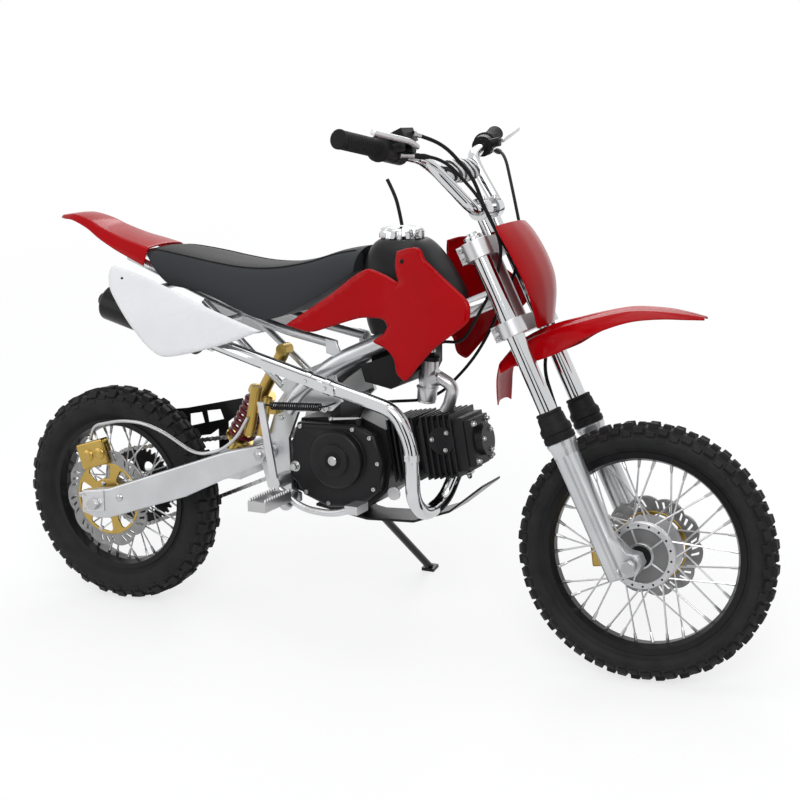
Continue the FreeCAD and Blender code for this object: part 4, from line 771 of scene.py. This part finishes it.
def makeTyre(name, wheel):
    # carcass: the (radius, side) section turned round the axle
    half = through(wheel["section"], 5)
    profile = np.concatenate([half, (half * [1, -1])[-2::-1]])
    a = circle(192)[:, None]
    grid = np.stack([profile[:, 0] * np.cos(a), profile[:, 1] + 0 * a, profile[:, 0] * np.sin(a)], -1)
    faces = gridFaces(len(a), len(profile), closedRows=True, closedColumns=True)
    makePiece(name + "_carcass", wheel["place"](grid), faces, "tyreRubber", wheel["body"], (wheel["stands"],), 50)
    even, odd = (np.arange(first, 2 * wheel["lugs"], 2) * np.pi / wheel["lugs"] for first in (0, 1))
    tilt, long, crown = wheel["tilt"], wheel["halfLong"], (wheel["crown"], wheel["crownHalf"] + 1.4)
    # foot, tilt, half length, half width, rise, angles, draft
    rows = [(wheel["shoulder"], tilt, long, wheel["halfOver"], 7.2, even, 1.0),
            (crown, 3, long, wheel["crownHalf"], 7.4, odd, 1.0),
            (wheel["side"], 74, long * 0.75, 3.6, 1.8, even, 0.6),
            (wheel["flank"], tilt + 14, long * 0.92, 5.6, 4.4, odd, 0.9)]
    parts = [lugBlocks((radius, sign * side), sign * lean, *rest)
             for sign in (-1, 1) for (radius, side), lean, *rest in rows]
    parts.append(lugBlocks((wheel["crown"], 0), 0, long * 0.78, wheel["crownHalf"], 6.6, even))
    makeJoined(name + "_lugs", parts, wheel["place"], "tyreRubber", wheel["body"], (), 30, (0.8, 1, 40))


def makeNipples(name, wheel, count=36, crossing=math.radians(26)):
    # each spoke's nipple in the rim's well and its head at the hub's flange
    parts = []
    for i in range(count):
        turn, side, lace = 2 * math.pi * i / count, 1 if i % 2 else -1, 1 if (i // 2) % 2 else -1
        end = atTurn(turn, wheel["well"], side * 3)
        start = atTurn(turn + lace * crossing, wheel["flange"] - 4, side * (wheel["hub"] - 2.5))
        way, head = unit(start - end), start - [0, side * 1.6, 0]
        parts.append(turnedPart(end - way, end, [(0, 3.4), (9, 3.0), (15, 2.7), (18, 1.9)], 8))
        parts.append(turnedPart(head, head + [0, side, 0], [(0, 3.2), (4, 3.2), (5, 1.6)], 8))
    makeJoined(name + "_nipples", parts, wheel["place"], "steel", wheel["body"], (), 40)


def discBand(disc, waves=10, slots=3, scallop=7.5):
    # outer edge = radius - scallop * (1 - |cos|)^1.3 at each wave; slots are cells of the grid left out
    a = circle(1080)[:, None]
    t = np.linspace(0, 1, 15)[None]
    edge = disc["outer"] - scallop * (1 - np.abs(np.cos(a * waves / 2))) ** 1.3
    foot = disc["inner"] + 3.0 * (1 - np.abs(np.cos(a * waves / 2 + 0.3)))
    r = foot + t * (edge - foot)
    lean = a + 0.16 * (t - 0.5)
    faces = gridFaces(len(a), t.shape[1], closedRows=True)
    row, column = faces[:, 0] // t.shape[1], faces[:, 0] % t.shape[1]
    phase = row / len(a) * waves * (slots + 1)
    order = np.floor(phase).astype(int) % (slots + 1)
    hole = (np.abs(phase % 1 - 0.5) < 0.17) & (column > 3) & (column < 11) & (order < slots)
    return np.stack([r * np.cos(lean), np.full_like(r, disc["side"]), r * np.sin(lean)], -1), faces[~hole]


def carrierGrid(disc, bore=17.2, windows=5):
    # rows by angle, columns by radius from the bore outward; the windows are cells left out, round-cornered
    a = circle(720)[:, None]
    t = np.linspace(0, 1, 33)[None]
    r = bore + t * (disc["ring"] - bore) + 0 * a
    faces = gridFaces(len(a), t.shape[1], closedRows=True)
    row, column = faces[:, 0] // t.shape[1], faces[:, 0] % t.shape[1]
    phase = np.abs((row / len(a) * windows) % 1 - 0.5)
    corner = np.clip((np.abs(column - 20.5) - 4) / 3.5, 0, 1)
    hole = (phase < 0.36 - 0.05 * corner ** 2) & (column > 12) & (column < 29)
    return np.stack([r * np.cos(a), np.full_like(r, disc["side"]), r * np.sin(a)], -1), faces[~hole]


def makeDisc(name, disc, wheel):
    place, body, side = wheel["place"], wheel["body"], disc["side"]
    band, faces = discBand(disc)
    makePiece(name + "_disc_band", place(band), faces, "discSteel", body, (disc["node"],), wall=(3.5, 0))
    core, faces = carrierGrid(disc)
    makePiece(name + "_disc_carrier", place(core), faces, "gold", body, wall=(4.2, 0))
    boss = [0, math.copysign(disc["hub"], side), 0]
    parts = [turnedPart(boss, [0, side, 0], [(0, 25), (abs(side) - disc["hub"], 25)])]
    for i in range(5):
        for reach, size, half in ((disc["inner"] - 3, 5.2, 3.4), (32, 5.0, 5.0)):
            foot = atTurn(2 * math.pi * (i + 0.5) / 5, reach, side - half)
            rivet = [(0, size * 0.8), (0.8, size), (2 * half - 0.8, size), (2 * half, size * 0.8)]
            parts.append(turnedPart(foot, foot + [0, 1, 0], rivet, 12))
    makeJoined(name + "_disc_bolts", parts, place, "steel", body, (), 40)


for name, wheel in wheels.items():
    makeTyre(name, wheel)
    makeNipples(name, wheel)
    makeDisc(name, discs[name], wheel)


def makeHubFace(wheel):
    # the front hub's open face: five ribs between a raised boss and the spoke flange
    place, body, side = wheel["place"], wheel["body"], -wheel["hub"]

    def faced(lift, profile, count):  # turned on the axle from lift millimetres outside the face
        return turnedPart([0, side - lift, 0], [0, side - lift - 1, 0], profile, count)

    parts = []
    for i in range(5):
        turn = 2 * math.pi * (i + 0.2) / 5
        out, over = atTurn(turn, 1, 0), atTurn(turn + math.pi / 2, 1, 0)
        parts.append(boxPart([out * r + over * s + [0, y, 0]
                              for y, far, half in ((side + 1, 51, 1.9), (side - 4.5, 49, 1.4))
                              for r, s in ((20, -1.9), (far, -half), (far, half), (20, 1.9))]))
    parts.append(faced(-1, [(0, 24), (8, 24), (10, 22.5)], 40))
    parts.append(faced(-1, [(0, 49), (5.5, 49.6), (7, 51), (7, 60.5), (5.5, 62), (0, 62)], 72))
    # its rounded edges follow the faces as they are drawn
    points, faces = joinParts(parts)
    makePiece("front_hub_face", place(points), faces, "castSilver", body, (), 35, (0.7, 2, 50), turned=False)
    # the recessed web between the ribs, in cast silver darkened with painted shade
    web = faced(-1, [(0, 51), (3.2, 51), (3.6, 50.5), (3.6, 22)], 60)
    makeJoined("front_hub_web", [web], place, "darkCast", body)
    # black discs just proud of the flange face: painted shade in place of holes through it
    feet = [atTurn(2 * math.pi * (i + 0.5) / 18, 56, side - 5) for i in range(18)]
    holeShades = [turnedPart(foot, foot - [0, 1, 0], [(0, 2.1), (1.3, 2.1), (1.35, 0)], 12) for foot in feet]
    makeJoined("front_hub_hole_shades", holeShades, place, "softBlack", body, (), 40)
    seal = faced(8.6, [(0, 20), (1.0, 20), (1.6, 18.6)], 40)
    makeJoined("front_hub_seal", [seal], place, "softBlack", body, (), 40)


makeHubFace(wheels["front"])
print("wheels made")

# Small fittings: bolts, nuts and screws set where a straight look at the casting meets it
surfaces = {}


def surfacePoint(node, start, way):
    if node not in surfaces:
        mesh = frame["nodes"][node].data
        surfaces[node] = BVHTree.FromPolygons([v.co for v in mesh.vertices], [p.vertices for p in mesh.polygons])
    hit = surfaces[node].ray_cast(Vector(start), Vector(way))[0]
    assert hit is not None, f"no surface of {node} in that line"
    return np.array(hit)


boltForms = {  # (height share, radius share) from the seat up, and the sides
    "hex": ([(-0.3, 1.35), (0.15, 1.35), (0.2, 1.0), (0.9, 1.0), (1.0, 0.85), (1.0, 0)], 6),
    "acorn": ([(-0.3, 1.2), (0.1, 1.2), (0.15, 1.0), (0.5, 1.0), (0.8, 0.8), (1.0, 0.3), (1.0, 0)], 12),
    "socket": ([(-0.3, 1.0), (0.85, 1.0), (1.0, 0.88), (1.0, 0.5), (0.5, 0.5), (0.5, 0)], 18),
    "screw": ([(-0.3, 1.0), (0.4, 1.0), (0.8, 0.8), (1.0, 0.4), (1.0, 0)], 16),
}
near, far, upward = (0, -1, 0), (0, 1, 0), (0, 0, 1)


def boltPart(foot, way, radius, height, form):
    profile, sides = boltForms[form]
    profile = np.array(profile) * [height / 1000, radius / 1000]
    return turnedPart(foot + way * profile[0, 0], foot + way, profile - [profile[0, 0], 0], sides)


def turnedTo(place, way):  # a direction given in the piece's own frame, in the world
    return unit(place(np.asarray(way, float) * 1000.0) - place(np.zeros(3)))


def makeBolts(name, rows, place, finish, body):
    # rows (node, point, outward way, radius, height, form): seen from 150 mm outside
    parts = []
    for node, point, way, radius, height, form in rows:
        out = turnedTo(place, way)
        foot = surfacePoint(node, place(point) + out * 0.15, -out)
        parts.append(boltPart(foot, out, radius, height, form))
    makeJoined(name, parts, inWorld, finish, body)


engine = {"crank": (564, 374), "tilt": math.radians(9.5),
          "clutch_cover": [(474, 436), (600, 440), (640, 425), (658, 372), (648, 316), (606, 282), (540, 275),
                           (486, 294)],
          "magneto_cover": [(520, 436), (620, 432), (650, 372), (636, 310), (560, 282), (504, 300)]}


def barrelPoint(ahead, side, up):  # a point on the leaning cylinder, from the crank
    c, s = math.cos(engine["tilt"]), math.sin(engine["tilt"])
    return np.array([engine["crank"][0] + ahead * c - up * s, side, engine["crank"][1] + ahead * s + up * c])


barrelWay, barrelUp = (barrelPoint(*step) - barrelPoint(0, 0, 0) for step in ((1, 0, 0), (0, 0, 1)))


def engineBolts():
    rows = []
    crank = np.array(engine["crank"])
    for node, side, way in (("clutch_cover", -60, near), ("magneto_cover", 60, far)):
        for corner in engine[node]:
            x, z = corner + (crank - corner) * 0.1
            rows.append((node, (x, side, z), way, 4.2, 4.5, "socket"))
    for i in range(3):
        turn = 2 * math.pi * (i + 0.4) / 3
        c, s = math.cos(turn), math.sin(turn)
        for side, way in ((-54, near), (54, far)):
            rows.append(("cylinder_head", barrelPoint(205 + 19 * c, side, 12 + 19 * s), way, 3.6, 5, "acorn"))
        rows.append(("cylinder_head", barrelPoint(276, 22 * c, 22 * s), barrelWay, 3.8, 6, "acorn"))
    rows += [("cylinder_head", barrelPoint(262, side, up), barrelWay, 5.2, 9, "acorn")
             for side in (-31, 31) for up in (-35, 35)]
    return rows + [("main_frame", (531, -74, 466), near, 8, 6, "socket"),
                   ("main_frame", (531, 74, 466), far, 8, 6, "socket"),
                   ("main_frame", (450, -74, 292), near, 6.5, 6, "hex"),
                   ("main_frame", (450, 74, 292), far, 6.5, 6, "hex"),
                   ("main_frame", (432, -74, 440), near, 5, 5, "hex"),
                   ("rear_axle_and_pivot_bolt", (405, -100, 371), near, 8, 7, "acorn")]


def steeringBolts():
    rows = []
    for side, way in ((-1, near), (1, far)):
        rows += [("fork_clamps", (-7, side * 95, up), way, 4.6, 6, "socket") for up in (457, 472, 608, 625)]
        rows += [("handlebar", (ahead, side * 30, 704), upward, 3.6, 4.5, "socket") for ahead in (22, 48)]
        rows += [("front_fender", (30, side * 22, 446), upward, 4, 2.5, "screw"),
                 ("fork_sliders", (46, side * 110, -2), (1, 0, 0), 4.0, 5, "socket")]
    return rows + [("bar_controls", (25, -side, 844), upward, 3, 2, "screw") for side in (200, 238)]


makeBolts("engine_bolts", engineBolts(), fromBike, "steel", "chassis")
makeBolts("steering_bolts", steeringBolts(), fromFork, "steel", "steering")
makeBolts("panel_screws", [("shrouds", (717, side * 110, 758), (0, side, 0), 5, 3, "screw") for side in (-1, 1)]
          + [("side_panels", (x, side * 130, z), (0, side, 0), 4.5, 2.5, "screw")
             for side in (-1, 1) for x, z in ((110, 700), (388, 612))], fromBike, "softBlack", "chassis")
print("bolts set")

# Engine dress: kick shaft, cover rings, oil plug, carburettor's top and bowl, clutch pivot, head and fork caps
forkCap = [(0, 15.5), (2, 16.2), (4, 15.5), (4.5, 11), (8, 11), (9, 10), (9, 0)]
dress = [  # frame, foot, way, profile (distance, radius), finish
    (fromBike, (470, -80, 350), near, [(0, 10.5), (9, 10.5), (10, 9.5), (10, 6.8), (19, 6.8), (20, 6)], "steel"),
    (fromBike, (564, -109.6, 374), near, [(0, 17), (1.4, 17), (2.0, 16), (2.0, 9)], "softBlack"),
    (fromBike, (564, -110.6, 374), near, [(0, 9), (1.6, 9), (2.4, 8), (2.4, 5.5), (1.4, 5), (1.4, 0)], "steel"),
    (fromBike, (669, -62, 311), near, [(-2, 13), (2, 13), (3, 12), (3, 0)], "castSilver"),
    (fromBike, (721.5, -11, 563), (0.12, 0, 1),
     [(0, 18.5), (8, 18.5), (10, 16), (10, 10), (16, 9), (17, 4), (17, 0)], "blackPlastic"),
    (fromBike, (716.5, -11, 512), (-0.09, 0, -1),
     [(0, 21), (3, 21), (3.5, 19), (24, 18.5), (29, 15), (30, 8), (33, 7), (33, 0)], "castSilver"),
    (fromBike, (564, -104, 374), near, [(0, 33.5), (2.4, 33.5), (3.2, 32.6)], "castBlack"),
    (fromBike, (545, -79, 447), near, [(-4.6, 2), (-3, 4.2), (0, 5.4), (3, 4.2), (4.6, 2), (4.6, 0)], "steel"),
    (fromFork, (0, 0, 640), upward, [(0, 17), (1.5, 17), (2, 14.5), (7, 14.5), (8.5, 13), (8.5, 0)], "chrome"),
    (fromFork, (20.5, -87.7, 638), upward, forkCap, "chrome"),
    (fromFork, (20.5, 87.7, 638), upward, forkCap, "chrome"),
]
for index, (place, foot, way, profile, finish) in enumerate(dress):
    fitting = turnedPart(foot, np.array(foot) + way, profile, 40)
    body = "steering" if place is fromFork else "chassis"
    makeJoined(f"turned_fitting_{index + 1}", [fitting], place, finish, body)

arm = boxPart([(540, -80.5, 444), (603, -74, 450.5), (603, -66, 450.5), (540, -76.5, 444),
               (540, -80.5, 450), (603, -74, 454), (603, -66, 454), (540, -76.5, 450)])
makeJoined("clutch_arm", [arm], fromBike, "castSilver", "chassis", (), 35, (1, 2, 40))

railTab = [(530, 600), (553, 596), (563, 574), (556, 566), (532, 572)]
strutTab = [(420, 500), (434, 514), (472, 517), (466, 492), (432, 489)]
adjuster = [(-31, 207), (-31, 250), (24, 258), (24, 214)]


def pairedSlabs(outline, inner, outer):  # the same slab on both sides of the bike
    return [slabPart(outline, inner, outer), slabPart(outline, -outer, -inner)]


brackets = pairedSlabs(railTab, 64, 70) + pairedSlabs(strutTab, 58, 65)
makeJoined("rail_brackets", brackets, fromBike, "silverPaint", "chassis", (), 35, (1.2, 2, 60))
flange = boxPart([barrelPoint(205 + a, s, -64 + up) for up in (0, 7)
                  for a, s in ((-29, -11), (29, -11), (29, 11), (-29, 11))])
makeJoined("exhaust_flange", [flange], fromBike, "castSilver", "chassis", (), 35, (3, 2, 40))
makeJoined("axle_adjusters", pairedSlabs(adjuster, 105, 107.4), fromBike, "castSilver", "chassis", (), 35,
           (1.0, 2, 40))
makeBolts("swingarm_bolts", [("swingarm", (62, side * 120, 246), (0, side, 0), 8, 4, "screw") for side in (-1, 1)]
          + [("swingarm", (x, side * 120, z), (0, side, 0), 3.4, 3.4, "socket")
             for side in (-1, 1) for x, z in ((-24, 245), (-24, 214))], fromBike, "steel", "chassis")
makeBolts("rear_caliper_pots", [("rear_caliper", (x, -120, z), near, 12.5, 5, "screw")
                                for x, z in ((-38, 318), (-9, 325))], fromBike, "gold", "chassis")
nuts = [boltPart(fromBike(barrelPoint(205 + a, 0, -64)), turnedTo(fromBike, -barrelUp), 5, 9, "acorn")
        for a in (-21, 21)]
makeJoined("exhaust_nuts", nuts, inWorld, "steel", "chassis")


def makeBands():
    # clamps round the exhaust, each with a bolt head: (middle, way of the pipe)
    parts = []
    for middle, way in (((567, -124, 519.3), (-193, 6, 48)), ((526, -122.6, 529.7), (-193, 6, 48)),
                        ((736.4, -121.6, 400), (-2, -2, 102)), ((300, -106, 582), (-118, 20, 26))):
        middle, way = np.array(middle, float), unit(way)
        band = [(0, 13.5), (0, 15.4), (0.8, 16), (11.2, 16), (12, 15.4), (12, 13.5)]
        parts.append(turnedPart(middle - way * 6, middle, band, 36))
        head = middle + [0, -14, 0]
        parts.append(turnedPart(head, head + near, [(0, 4.6), (5.5, 4.6), (7, 3.6), (7, 0)], 6))
    makeJoined("exhaust_bands", parts, fromBike, "chrome", "chassis")


makeBands()
print("engine dressed")


# Coil springs
def coilPart(start, end, radius, wire, pitch, perTurn, sides):
    # a helix: start + line * share + radius * (cos, sin) of the turn
    start, end = np.asarray(start, float), np.asarray(end, float)
    way = unit(end - start)
    side = unit(np.cross(way, [0, 1, 0]))
    up = np.cross(way, side)
    span = np.linalg.norm(end - start) - 2 * wire
    turns = max(1, round(span / pitch))
    a = np.linspace(0, 2 * np.pi * turns, turns * perTurn + 1)[:, None]
    path = start + way * (wire + span * a / a[-1]) + radius * (np.cos(a) * side + np.sin(a) * up)
    return tubePart(path, wire, sides)


low, high = np.array([268.0, 0, 334]), np.array([400.0, 0, 560])  # the shock absorber's eyes
line = unit(high - low)
coil = coilPart(low + line * 46.3, low + line * 149.7, 24, 4.7, 14, 28, 12)
makeJoined("shock_coil", [coil], fromBike, "redSteel", "chassis", ("shock_spring",), 60)
pedalHooks = [((419, -112, 471), (435, -112, 470)), ((419, -112, 471), (419, -121, 471)),
              ((538, -108, 475), (552, -108, 478)), ((552, -108, 478), (552, -74, 478))]
pedalCoil = coilPart((433, -112, 470), (540, -108, 475), 6.4, 1.7, 4.6, 14, 6)
makeJoined("pedal_coil", [pedalCoil] + [tubePart(ends, 2.0, 8) for ends in pedalHooks], fromBike, "blackPaint",
           "chassis", ("pedal_spring",), 60)


# Grips, fork boots and the tank's cap
def makeGrips(ribs=17, pitch=6):
    barEnd, barBend = np.array([-17.0, 370, 851]), np.array([8.0, 112, 796])
    barLine = unit(barEnd - barBend)
    profile = [(0, 12), (0, 15), (1.5, 16.8), (5, 16.8), (6.5, 15.6)]
    for i in range(ribs):
        profile += [(d + i * pitch, radius) for d, radius in ((9, 15.2), (9.8, 16), (13.2, 16), (14, 15.2))]
    profile += [(114, 17), (116, 22.5), (121, 23), (122, 21), (122, 12)]
    grip = turnedPart(barEnd + barLine * 6, barEnd, profile, 28)
    makeJoined("grip_rubbers", [grip, mirroredPart(grip)], fromFork, "softBlack", "steering", ("grips",), 50)


def onLegs(up, profile, count):  # turned round both fork legs
    return [turnedPart((20.5, side, up), (20.5, side, up + 1), profile, count) for side in (-87.7, 87.7)]


makeGrips()
lip = [(0, 22.5), (0, 23.2), (14, 25), (22, 27.6), (26, 27.8), (27.3, 26.5), (27.3, 22.5)]
makeJoined("slider_lips", onLegs(220, lip, 48), fromFork, "silverPaint", "steering", (), 40)
boot = [(0, 17), (0, 27), (1.5, 28.8), (10, 28.8), (12, 27), (14, 26.8), (16, 28.8), (26, 28.8), (29, 26.5),
        (32, 25), (46, 24.4), (50, 22.5), (53, 24), (56, 23), (56.7, 21), (56.7, 17)]
makeJoined("boot_rubbers", onLegs(247.3, boot, 40), fromFork, "softBlack", "steering", ("dust_boots",), 40)


def makeCap(foot, radius, height, lobes=10):
    # rings (height, reach, lobe): radius * reach * (1 - 0.08 * lobe * the lobes' cosine, cut off at 0 and 1)
    a = circle(240)[None]
    rings = np.array([(0, 0.95, 0.4), (0.08, 1.0, 1), (0.62, 0.99, 1), (0.78, 0.93, 0.9), (0.9, 0.82, 0.5),
                      (0.98, 0.62, 0.1), (1.0, 0.42, 0), (0.97, 0.4, 0), (0.97, 0.2, 0)])
    z, reach, lobe = (rings[:, i:i + 1] for i in range(3))
    r = radius * reach * (1 - 0.08 * lobe * np.clip(np.cos(lobes * a) * 1.6, 0, 1))
    grid = np.stack([foot[0] + r * np.cos(a), foot[1] + r * np.sin(a), foot[2] + height * z + 0 * a], -1)
    makeJoined("cap_lobes", [ringsPart(grid)], fromBike, "chrome", "chassis", ("filler_cap",), 40)


makeCap((660, 0, 788.3), 43, 22)

pad = {"centre": (15, 768), "half": 72, "radius": 22, "square": 2.6}


def makePad():
    # section: superellipse; radius = full * (1 - 0.75 * |share|^12) towards the ends, puckered a little
    share = np.linspace(-1, 1, 49)[:, None]
    a = circle(48)[None]
    size = pad["radius"] * (1 - 0.75 * np.abs(share) ** 12) * (1 - 0.02 * np.cos(9 * share) * np.cos(3 * a))
    c, s, n = np.cos(a), np.sin(a), pad["square"]
    reach = size * (np.abs(c) ** n + np.abs(s) ** n) ** (-1 / n) * 0.93
    grid = np.stack([pad["centre"][0] + reach * c, pad["half"] * share + 0 * a, pad["centre"][1] + reach * s], -1)
    points, faces = ringsPart(grid)
    piece = makePiece("pad_cover", fromFork(points), faces, "padCover", "steering", ("bar_pad",), 60)


stripedCover()
makePad()
print("springs, rubbers and pad made")


# Cables and hoses: straight runs joined by round bends, as in the CAD
def bentPath(points, share=0.45, count=9):
    # at each corner an arc that starts share * the shorter run away from it
    p = np.asarray(points, float)
    out = [p[:1]]
    for before, corner, after in zip(p, p[1:], p[2:]):
        back, ahead = before - corner, after - corner
        reach = share * min(np.linalg.norm(back), np.linalg.norm(ahead))
        back, ahead = unit(back), unit(ahead)
        half = math.acos(np.clip(back.dot(ahead), -1, 1)) / 2
        start, end = corner + back * reach, corner + ahead * reach
        if math.pi / 2 - half < 0.01:
            out.append(np.array([start, end]))
            continue
        centre = corner + unit(back + ahead) * reach / math.cos(half)
        t = np.linspace(0, 1, count)[:, None]
        swing = math.pi - 2 * half
        u, v = start - centre, end - centre
        out.append(centre + (np.sin((1 - t) * swing) * u + np.sin(t * swing) * v) / math.sin(swing))
    return np.concatenate(out + [p[-1:]])


def lengthAlong(path):
    return np.r_[0, np.cumsum(np.linalg.norm(np.diff(path, axis=0), axis=1))]


def atLength(path, length):
    return np.stack([np.interp(length, lengthAlong(path), path[:, i]) for i in range(3)], -1)


leads = {
    "throttle_cable": {
        "fork": [(14, -232, 805), (56, -160, 780), (64, -84, 690), (54, -54, 600), (4, -50, 545)],
        "bike": [(800, -34, 604), (748, -16, 600), (724, -11, 583)], "radius": 3, "finish": "softBlack"},
    "clutch_cable": {
        "fork": [(14, 236, 805), (56, 160, 780), (64, 84, 690), (54, 54, 600), (4, 50, 545)],
        "bike": [(800, 36, 570), (716, 24, 480), (640, -30, 480), (606, -66, 477), (600, -70, 453.5)],
        "radius": 3, "finish": "softBlack"},
    "front_brake_hose": {
        "fork": [(43.7, -214, 832), (64, -150, 800), (64, -80, 735), (54, -62, 680), (51, -40, 610),
                 (52, 0, 545), (46.5, 46, 498), (46.5, 59, 440), (14, 64, 414), (-12, 66, 370),
                 (-18, 67, 320), (-30, 64, 180), (-44, 56, 90)], "radius": 3.4, "finish": "softBlack"},
    "rear_brake_hose": {
        "bike": [(-38, -60, 350), (-18, -74, 384), (60, -88, 404), (118, -94, 406), (170, -96, 392),
                 (250, -98, 352), (310, -100, 368), (348, -102, 398), (374, -101.8, 440)],
        "radius": 3.4, "finish": "steel"},
}


def makeLead(name, lead, step=0.004):
    # a lead from the steering to the chassis is drawn through points of both, as one fixed piece that rides
    # neither
    ends = [place(lead[key]) for key, place in (("fork", fromFork), ("bike", fromBike)) if key in lead]
    bent = bentPath(np.concatenate(ends))
    whole = lengthAlong(bent)[-1]
    path = atLength(bent, np.linspace(0, whole, max(2, int(whole / step))))
    points, faces = tubePart(path, lead["radius"] / 1000, 12)
    if len(ends) == 2:
        piece = makePiece(name + "_line", points, faces, lead["finish"], None, (), 60)
        tuple(ends[0][-2])
        tuple(ends[1][0])
        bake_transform(piece)
        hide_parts(name)
    else:
        body = "steering" if "fork" in lead else "chassis"
        makePiece(name + "_line", points, faces, lead["finish"], body, (name,), 60)
    return path


leadPaths = {name: makeLead(name, lead) for name, lead in leads.items()}


def sleeveAt(name, start, length, profile):  # a turned sleeve lying along a lead
    a, b = atLength(leadPaths[name], np.array([start, start + length]) / 1000)
    return turnedPart(a, b, np.array(profile) / 1000, 16)


ferrules = [sleeveAt("throttle_cable", 0, 26, [(-1, 4.2), (4, 4.6), (6, 3.7), (27, 3.7), (28, 3.2)]),
            sleeveAt("clutch_cable", 0, 22, [(0, 5), (10, 5), (11, 3.8), (24, 3.8)]),
            sleeveAt("front_brake_hose", 0, 18, [(0, 5.6), (6, 5.6), (6.5, 4.4), (18, 4.4)])]
makeJoined("cable_ferrules", ferrules, inWorld, "steel", "steering", (), 40)
cableBoots = [sleeveAt("throttle_cable", 30, 30, [(0, 3.6), (4, 5.2), (20, 5.2), (30, 3.4)]),
              sleeveAt("clutch_cable", 24, 30, [(0, 4.2), (4, 5.6), (22, 5.2), (30, 3.4)])]
makeJoined("cable_boots", cableBoots, inWorld, "softBlack", "steering", (), 40)


def makeVentHose():
    route = fromBike([(660, 0, 811.3), (654, 0, 841.3), (644, 2, 869.3), (627, 6, 895.3)])
    data = bpy.data.curves.new("vent_line", "CURVE")
    data.dimensions, data.bevel_depth, data.bevel_resolution, data.use_fill_caps = "3D", 0.0034, 4, True
    spline = data.splines.new("NURBS")
    spline.points.add(len(route) - 1)
    for point, place in zip(spline.points, route):
        point.co = (*place, 1)
    spline.order_u, spline.use_endpoint_u, spline.resolution_u = 3, True, 12
    data.materials.append(finishes["softBlack"])
    piece = bpy.data.objects.new("vent_line", data)
    bpy.context.scene.collection.objects.link(piece)
    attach(piece, "chassis")
    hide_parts("vent_hose")
    tuple(route[0])


makeVentHose()
print("cables and hoses made")


# Chain: side plates and rollers round both sprockets
chain = {"pitch": 12.7, "rearTeeth": 41, "frontTeeth": 14, "rear": (0, 228), "front": (462, 372), "side": 55}


def pitchRadius(teeth):
    return chain["pitch"] / 2 / math.sin(math.pi / teeth)


def chainPath():
    # centres of the pins: both pitch circles and the two tangents between them
    big, small = pitchRadius(chain["rearTeeth"]), pitchRadius(chain["frontTeeth"])
    rear, front = np.array(chain["rear"], float), np.array(chain["front"], float)
    line = front - rear
    span, slope = np.linalg.norm(line), math.atan2(line[1], line[0])
    lift = math.asin((big - small) / span)
    straight = math.sqrt(span ** 2 - (big - small) ** 2)
    marks = np.cumsum([0, big * (math.pi + 2 * lift), straight, small * (math.pi - 2 * lift), straight])
    links = 2 * round(marks[-1] / chain["pitch"] / 2)
    out = []
    for d in np.arange(links) * marks[-1] / links:
        stretch = int(np.searchsorted(marks, d, side="right") - 1)
        d -= marks[stretch]
        turn = [slope - math.pi / 2 + lift - d / big, slope + math.pi / 2 - lift,
                slope + math.pi / 2 - lift - d / small, slope - math.pi / 2 + lift][stretch]
        centre, reach = (rear, big) if stretch < 2 else (front, small)
        way = np.array([math.cos(turn), math.sin(turn)])
        ahead = d if stretch in (1, 3) else 0
        out.append(centre + way * reach + np.array([way[1], -way[0]]) * ahead)
    return np.array(out)


def makeChain():
    # link plates round-ended and waisted, on two levels in turn; pins with a roller in the middle
    pins, side, parts = chainPath(), chain["side"], []
    a = np.linspace(-math.pi / 2, math.pi / 2, 6)[:, None]
    roller = [(0, 1.8), (3.2, 1.8), (3.2, 3.9), (9.6, 3.9), (9.6, 1.8), (12.8, 1.8)]
    for i, (p, q) in enumerate(zip(pins, np.roll(pins, -1, 0))):
        way = unit(q - p)
        over = np.array([-way[1], way[0]])
        end, middle = 4.5 * (np.cos(a) * way + np.sin(a) * over), (p + q) / 2
        outline = np.concatenate([q + end, [middle + over * 3.0], p - end, [middle - over * 3.0]])
        inner, outer = (4.7, 5.9) if i % 2 else (3.3, 4.5)
        parts += [slabPart(outline, side - outer, side - inner), slabPart(outline, side + inner, side + outer),
                  turnedPart([p[0], side - 6.4, p[1]], [p[0], side, p[1]], roller, 8)]
    makeJoined("chain_links", parts, fromBike, "steel", "chassis", ("chain",), 30)


def makeSprocket():
    # tooth outline: pitch radius + 1.2 * cos(teeth * angle) - 0.4
    (x, z), side, teeth = chain["front"], chain["side"], chain["frontTeeth"]
    a = circle(teeth * 6)
    reach = pitchRadius(teeth) + 1.2 * np.cos(a * teeth) - 0.4
    plate = slabPart(np.stack([x + reach * np.cos(a), z + reach * np.sin(a)], 1), side - 2.4, side + 2.4)
    shaft = turnedPart([x, 45.3, z], [x, side, z], [(0, 9), (14, 9), (15.7, 7.5), (15.7, 0)], 24)
    makeJoined("drive_sprocket", [plate, shaft], fromBike, "steel", "chassis", (), 30)


def makePegTeeth(low=310, high=317):
    # tapered teeth in two rows along both footpegs
    corners = ((-1, -1), (1, -1), (1, 1), (-1, 1))
    ends = ((2.4, 3, low), (1.6, 0.8, high))
    parts = [boxPart([(x + i * halfX, sign * y + j * halfY, z) for halfX, halfY, z in ends for i, j in corners])
             for sign in (-1, 1) for y in np.arange(139, 228, 8.5) for x in (450.5, 483.5)]
    makeJoined("peg_teeth", parts, fromBike, "castSilver", "chassis", (), 30)


makeChain()
makeSprocket()
makePegTeeth()
print("chain and pegs made")
